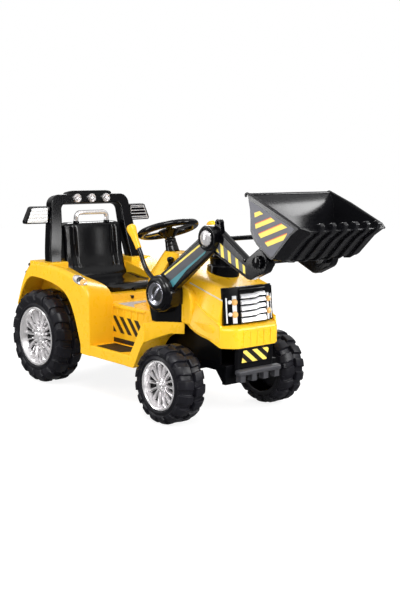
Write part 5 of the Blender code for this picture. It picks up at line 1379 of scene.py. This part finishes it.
def bucket():
    """The scoop: curved sheet, chamfered cheeks, rolled rims, ribbed floor and six teeth."""
    cheek_y = BUCKET_HALF - 0.022
    lugs, rims, hooks = [], [], []
    tip_x, tip_z = BUCKET_CHEEK[-1]
    top_line = (BUCKET_SIDE[0], (1.016, 0.651), BUCKET_CHEEK[-1])
    for _, side in SIDES:
        outline = arc_about(WRIST, 0.019, 110, 350, 14) + [(1.02, 0.5165), (0.978, 0.5475), (0.953, 0.582)]
        bore = rod(0.008, (WRIST.x, side * 0.09, WRIST.z), (WRIST.x, side * 0.13, WRIST.z))
        lugs.append(cut(prism(outline, *pair(side, 0.098, FOREARM_IN - 0.0004)), bore))
        y = side * (BUCKET_HALF - 0.0024)
        rims.append(tube([(x, y, z) for x, z in top_line], 0.0033, 12))
        rims.append(tube([(tip_x, y, tip_z), (1.152, side * (cheek_y + 0.002), 0.5925)], 0.003, 12))
        hook = [(x, side * (BUCKET_HALF - 0.0035), z)
                for x, z in ((0.94, 0.68), (0.932, 0.6815), (0.927, 0.6775), (0.929, 0.6725))]
        hooks.append(tube(smooth_line(hook, 3), 0.0034, 10))
    back_y = BUCKET_HALF - 0.003
    back_rim = tube([(0.9375, -back_y, 0.6785), (0.9375, back_y, 0.6785)], 0.004, 14)
    lip = tube([(1.1505, -cheek_y, 0.5922), (1.1505, cheek_y, 0.5922)], 0.0028, 12)
    solids = [rounded(bucket_shell(cheek_y), 0.001, 2, 35)] + lugs + bucket_ribs() + rims + [back_rim]
    piece("scoop", solids + hooks + [lip], BUCKET_BLACK, "bucket", "satin_black", "bucket")
    cheek = [(0.942, 0.664), (0.9545, 0.618), (0.9565, 0.586), (0.981, 0.5525), (1.025, 0.521),
             (1.035, 0.5195), (1.044, 0.529), (1.09, 0.579), (1.112, 0.599)]
    stripes = (
        [(0.966, 0.6315), (0.985, 0.6375), (0.9985, 0.6305), (0.968, 0.6195)],
        [(0.97, 0.601), (1.029, 0.622), (1.043, 0.615), (0.9725, 0.5895)],
        [(0.983, 0.576), (1.068, 0.6085), (1.087, 0.601), (0.993, 0.566)],
        [(1.0085, 0.555), (1.088, 0.585), (1.075, 0.567), (1.019, 0.546)],
    )
    edges = [[(x0, z0 + 0.0024), (x1 - 0.002, z1 + 0.002), (x1, z1), (x0, z0)]
             for (x0, z0), (x1, z1), *_ in stripes[1:]]
    for word, side in SIDES:
        for part, look, lines, base, lift in (
                ("cheek", BUCKET_SIDE_GREY, [cheek], BUCKET_HALF, 0.0005),
                ("stripes", STICKER_YELLOW, stripes, BUCKET_HALF + 0.0003, 0.0008),
                ("stripe_edges", STICKER_RED, edges, BUCKET_HALF + 0.0003, 0.0007)):
            plates = [outline_plate(line, base, lift, side) for line in lines]
            piece(f"bucket_{part}_{word}", plates, look, "bucket")


def kept_nodes():
    """CAD pieces whose shape is right as it is."""
    for look, width, names in (
            (SATIN_BLACK, 0.0012, ("chassis_frame", "front_axle_beam", "battery", "foot_pedal")),
            (DARK_GREY, 0.0012, ("gear_motor_left", "gear_motor_right", "control_box")),
            (STEEL, 0.0006, ("rear_axle", "steering_knuckle_left", "steering_knuckle_right", "tie_rod"))):
        for name in names:
            keep_node(name, look, width)


# Studio
def camera():
    """The photograph's viewpoint, to the front right of the vehicle and a little above it."""
    data = bpy.data.cameras.new("camera")
    data.lens = 60.51
    data.sensor_width = 36
    cam = bpy.data.objects.new("camera", data)
    bpy.context.scene.collection.objects.link(cam)
    yaw, pitch, roll = math.radians(48.298), math.radians(8.641), math.radians(1.02)
    turn = about("Z", yaw) @ about("X", math.pi / 2 - pitch) @ about("Z", roll)
    cam.matrix_world = at(2.37645, -2.0612, 0.8028) @ turn
    bpy.context.scene.camera = cam


def area_lamp(name, place, target, size, power):
    data = bpy.data.lights.new(name, "AREA")
    data.shape = "RECTANGLE"
    data.size, data.size_y = size
    data.energy = power
    lamp = bpy.data.objects.new(name, data)
    bpy.context.scene.collection.objects.link(lamp)
    lamp.location = place
    lamp.visible_camera = False
    lamp.rotation_euler = (Vector(target) - Vector(place)).to_track_quat("-Z", "Y").to_euler()


def surroundings():
    """White for the camera, plain light on the object, and a darker horizon in its reflections."""
    world = bpy.data.worlds.new("surroundings")
    world.use_nodes = True
    bpy.context.scene.world = world
    tree = world.node_tree
    tree.nodes.clear()
    path = tree.nodes.new("ShaderNodeLightPath").outputs
    seen = calc(tree, "MAXIMUM", path["Is Camera Ray"], path["Is Transmission Ray"])
    glossy = path["Is Glossy Ray"]
    place = tree.nodes.new("ShaderNodeTexCoord").outputs["Generated"]
    height = linked(tree, "ShaderNodeSeparateXYZ", Vector=place).outputs["Z"]
    ramp = remap(tree, height, 0.1, 0.5, 0.08, 0.85)
    ramp.interpolation_type = "SMOOTHSTEP"
    ambient = calc(tree, "MULTIPLY", calc(tree, "SUBTRACT", 1.0, glossy), 0.56)
    light = calc(tree, "ADD", ambient, calc(tree, "MULTIPLY", glossy, ramp.outputs[0]))
    strength = calc(tree, "MAXIMUM", light, seen)
    back = linked(tree, "ShaderNodeBackground", Color=(1, 1, 1, 1), Strength=strength)
    out = tree.nodes.new("ShaderNodeOutputWorld")
    tree.links.new(back.outputs[0], out.inputs["Surface"])


def pale_floor():
    """The floor, lifted to white for the camera and held darker in the object's reflections."""
    floor = moved(box((-6 - DATUM_X, -6, -0.02), (6 - DATUM_X, 6, -0.0005)), at(DATUM_X, 0, 0))
    floor.name = "studio_floor"
    bpy.context.scene.collection.objects.link(floor)
    paint = bpy.data.materials.new("pale_floor")
    paint.use_nodes = True
    tree = paint.node_tree
    shader = tree.nodes["Principled BSDF"]
    for socket, value in (("Base Color", (0.86, 0.86, 0.86, 1)), ("Roughness", 0.75),
                          ("Specular IOR Level", 0.2)):
        put(tree, shader.inputs[socket], value)
    path = tree.nodes.new("ShaderNodeLightPath").outputs
    surface = shader.outputs[0]
    for factor, strength in ((calc(tree, "MULTIPLY", path["Is Camera Ray"], 0.68), 1.28),
                             (path["Is Glossy Ray"], 0.16)):
        glow = linked(tree, "ShaderNodeEmission", Strength=strength)
        mix = tree.nodes.new("ShaderNodeMixShader")
        for socket, value in zip(mix.inputs, (factor, surface, glow.outputs[0])):
            put(tree, socket, value)
        surface = mix.outputs[0]
    put(tree, tree.nodes["Material Output"].inputs["Surface"], surface)
    floor.data.materials.append(paint)


def studio():
    """A pale floor, white surroundings for the camera, and soft boxes above and to the sides."""
    bpy.context.scene.view_settings.view_transform = "Standard"
    surroundings()
    pale_floor()
    centre = (0.15, 0.0, 0.3)
    area_lamp("key", (1.3, -1.3, 2.4), centre, (1.4, 0.8), 46)
    area_lamp("front", (2.8, 0.4, 1.3), centre, (0.7, 1.4), 34)
    area_lamp("back", (-1.6, 1.4, 1.9), centre, (1.2, 0.8), 30)
    area_lamp("left", (-1.4, -2.0, 0.9), centre, (0.3, 1.4), 15)
    area_lamp("bucket_glow", (0.9, 0.66, 0.71), (0.44, 0.0, 0.62), (0.36, 0.36), 4.6)


for build in (camera, studio, wheels, body_shell, front_cover, grille, lower_front, air_cleaner, dashboard,
              gear_knob, body_trim, seat, roll_bar, steering, booms, pedestals, forearms, bucket, kept_nodes):
    build()
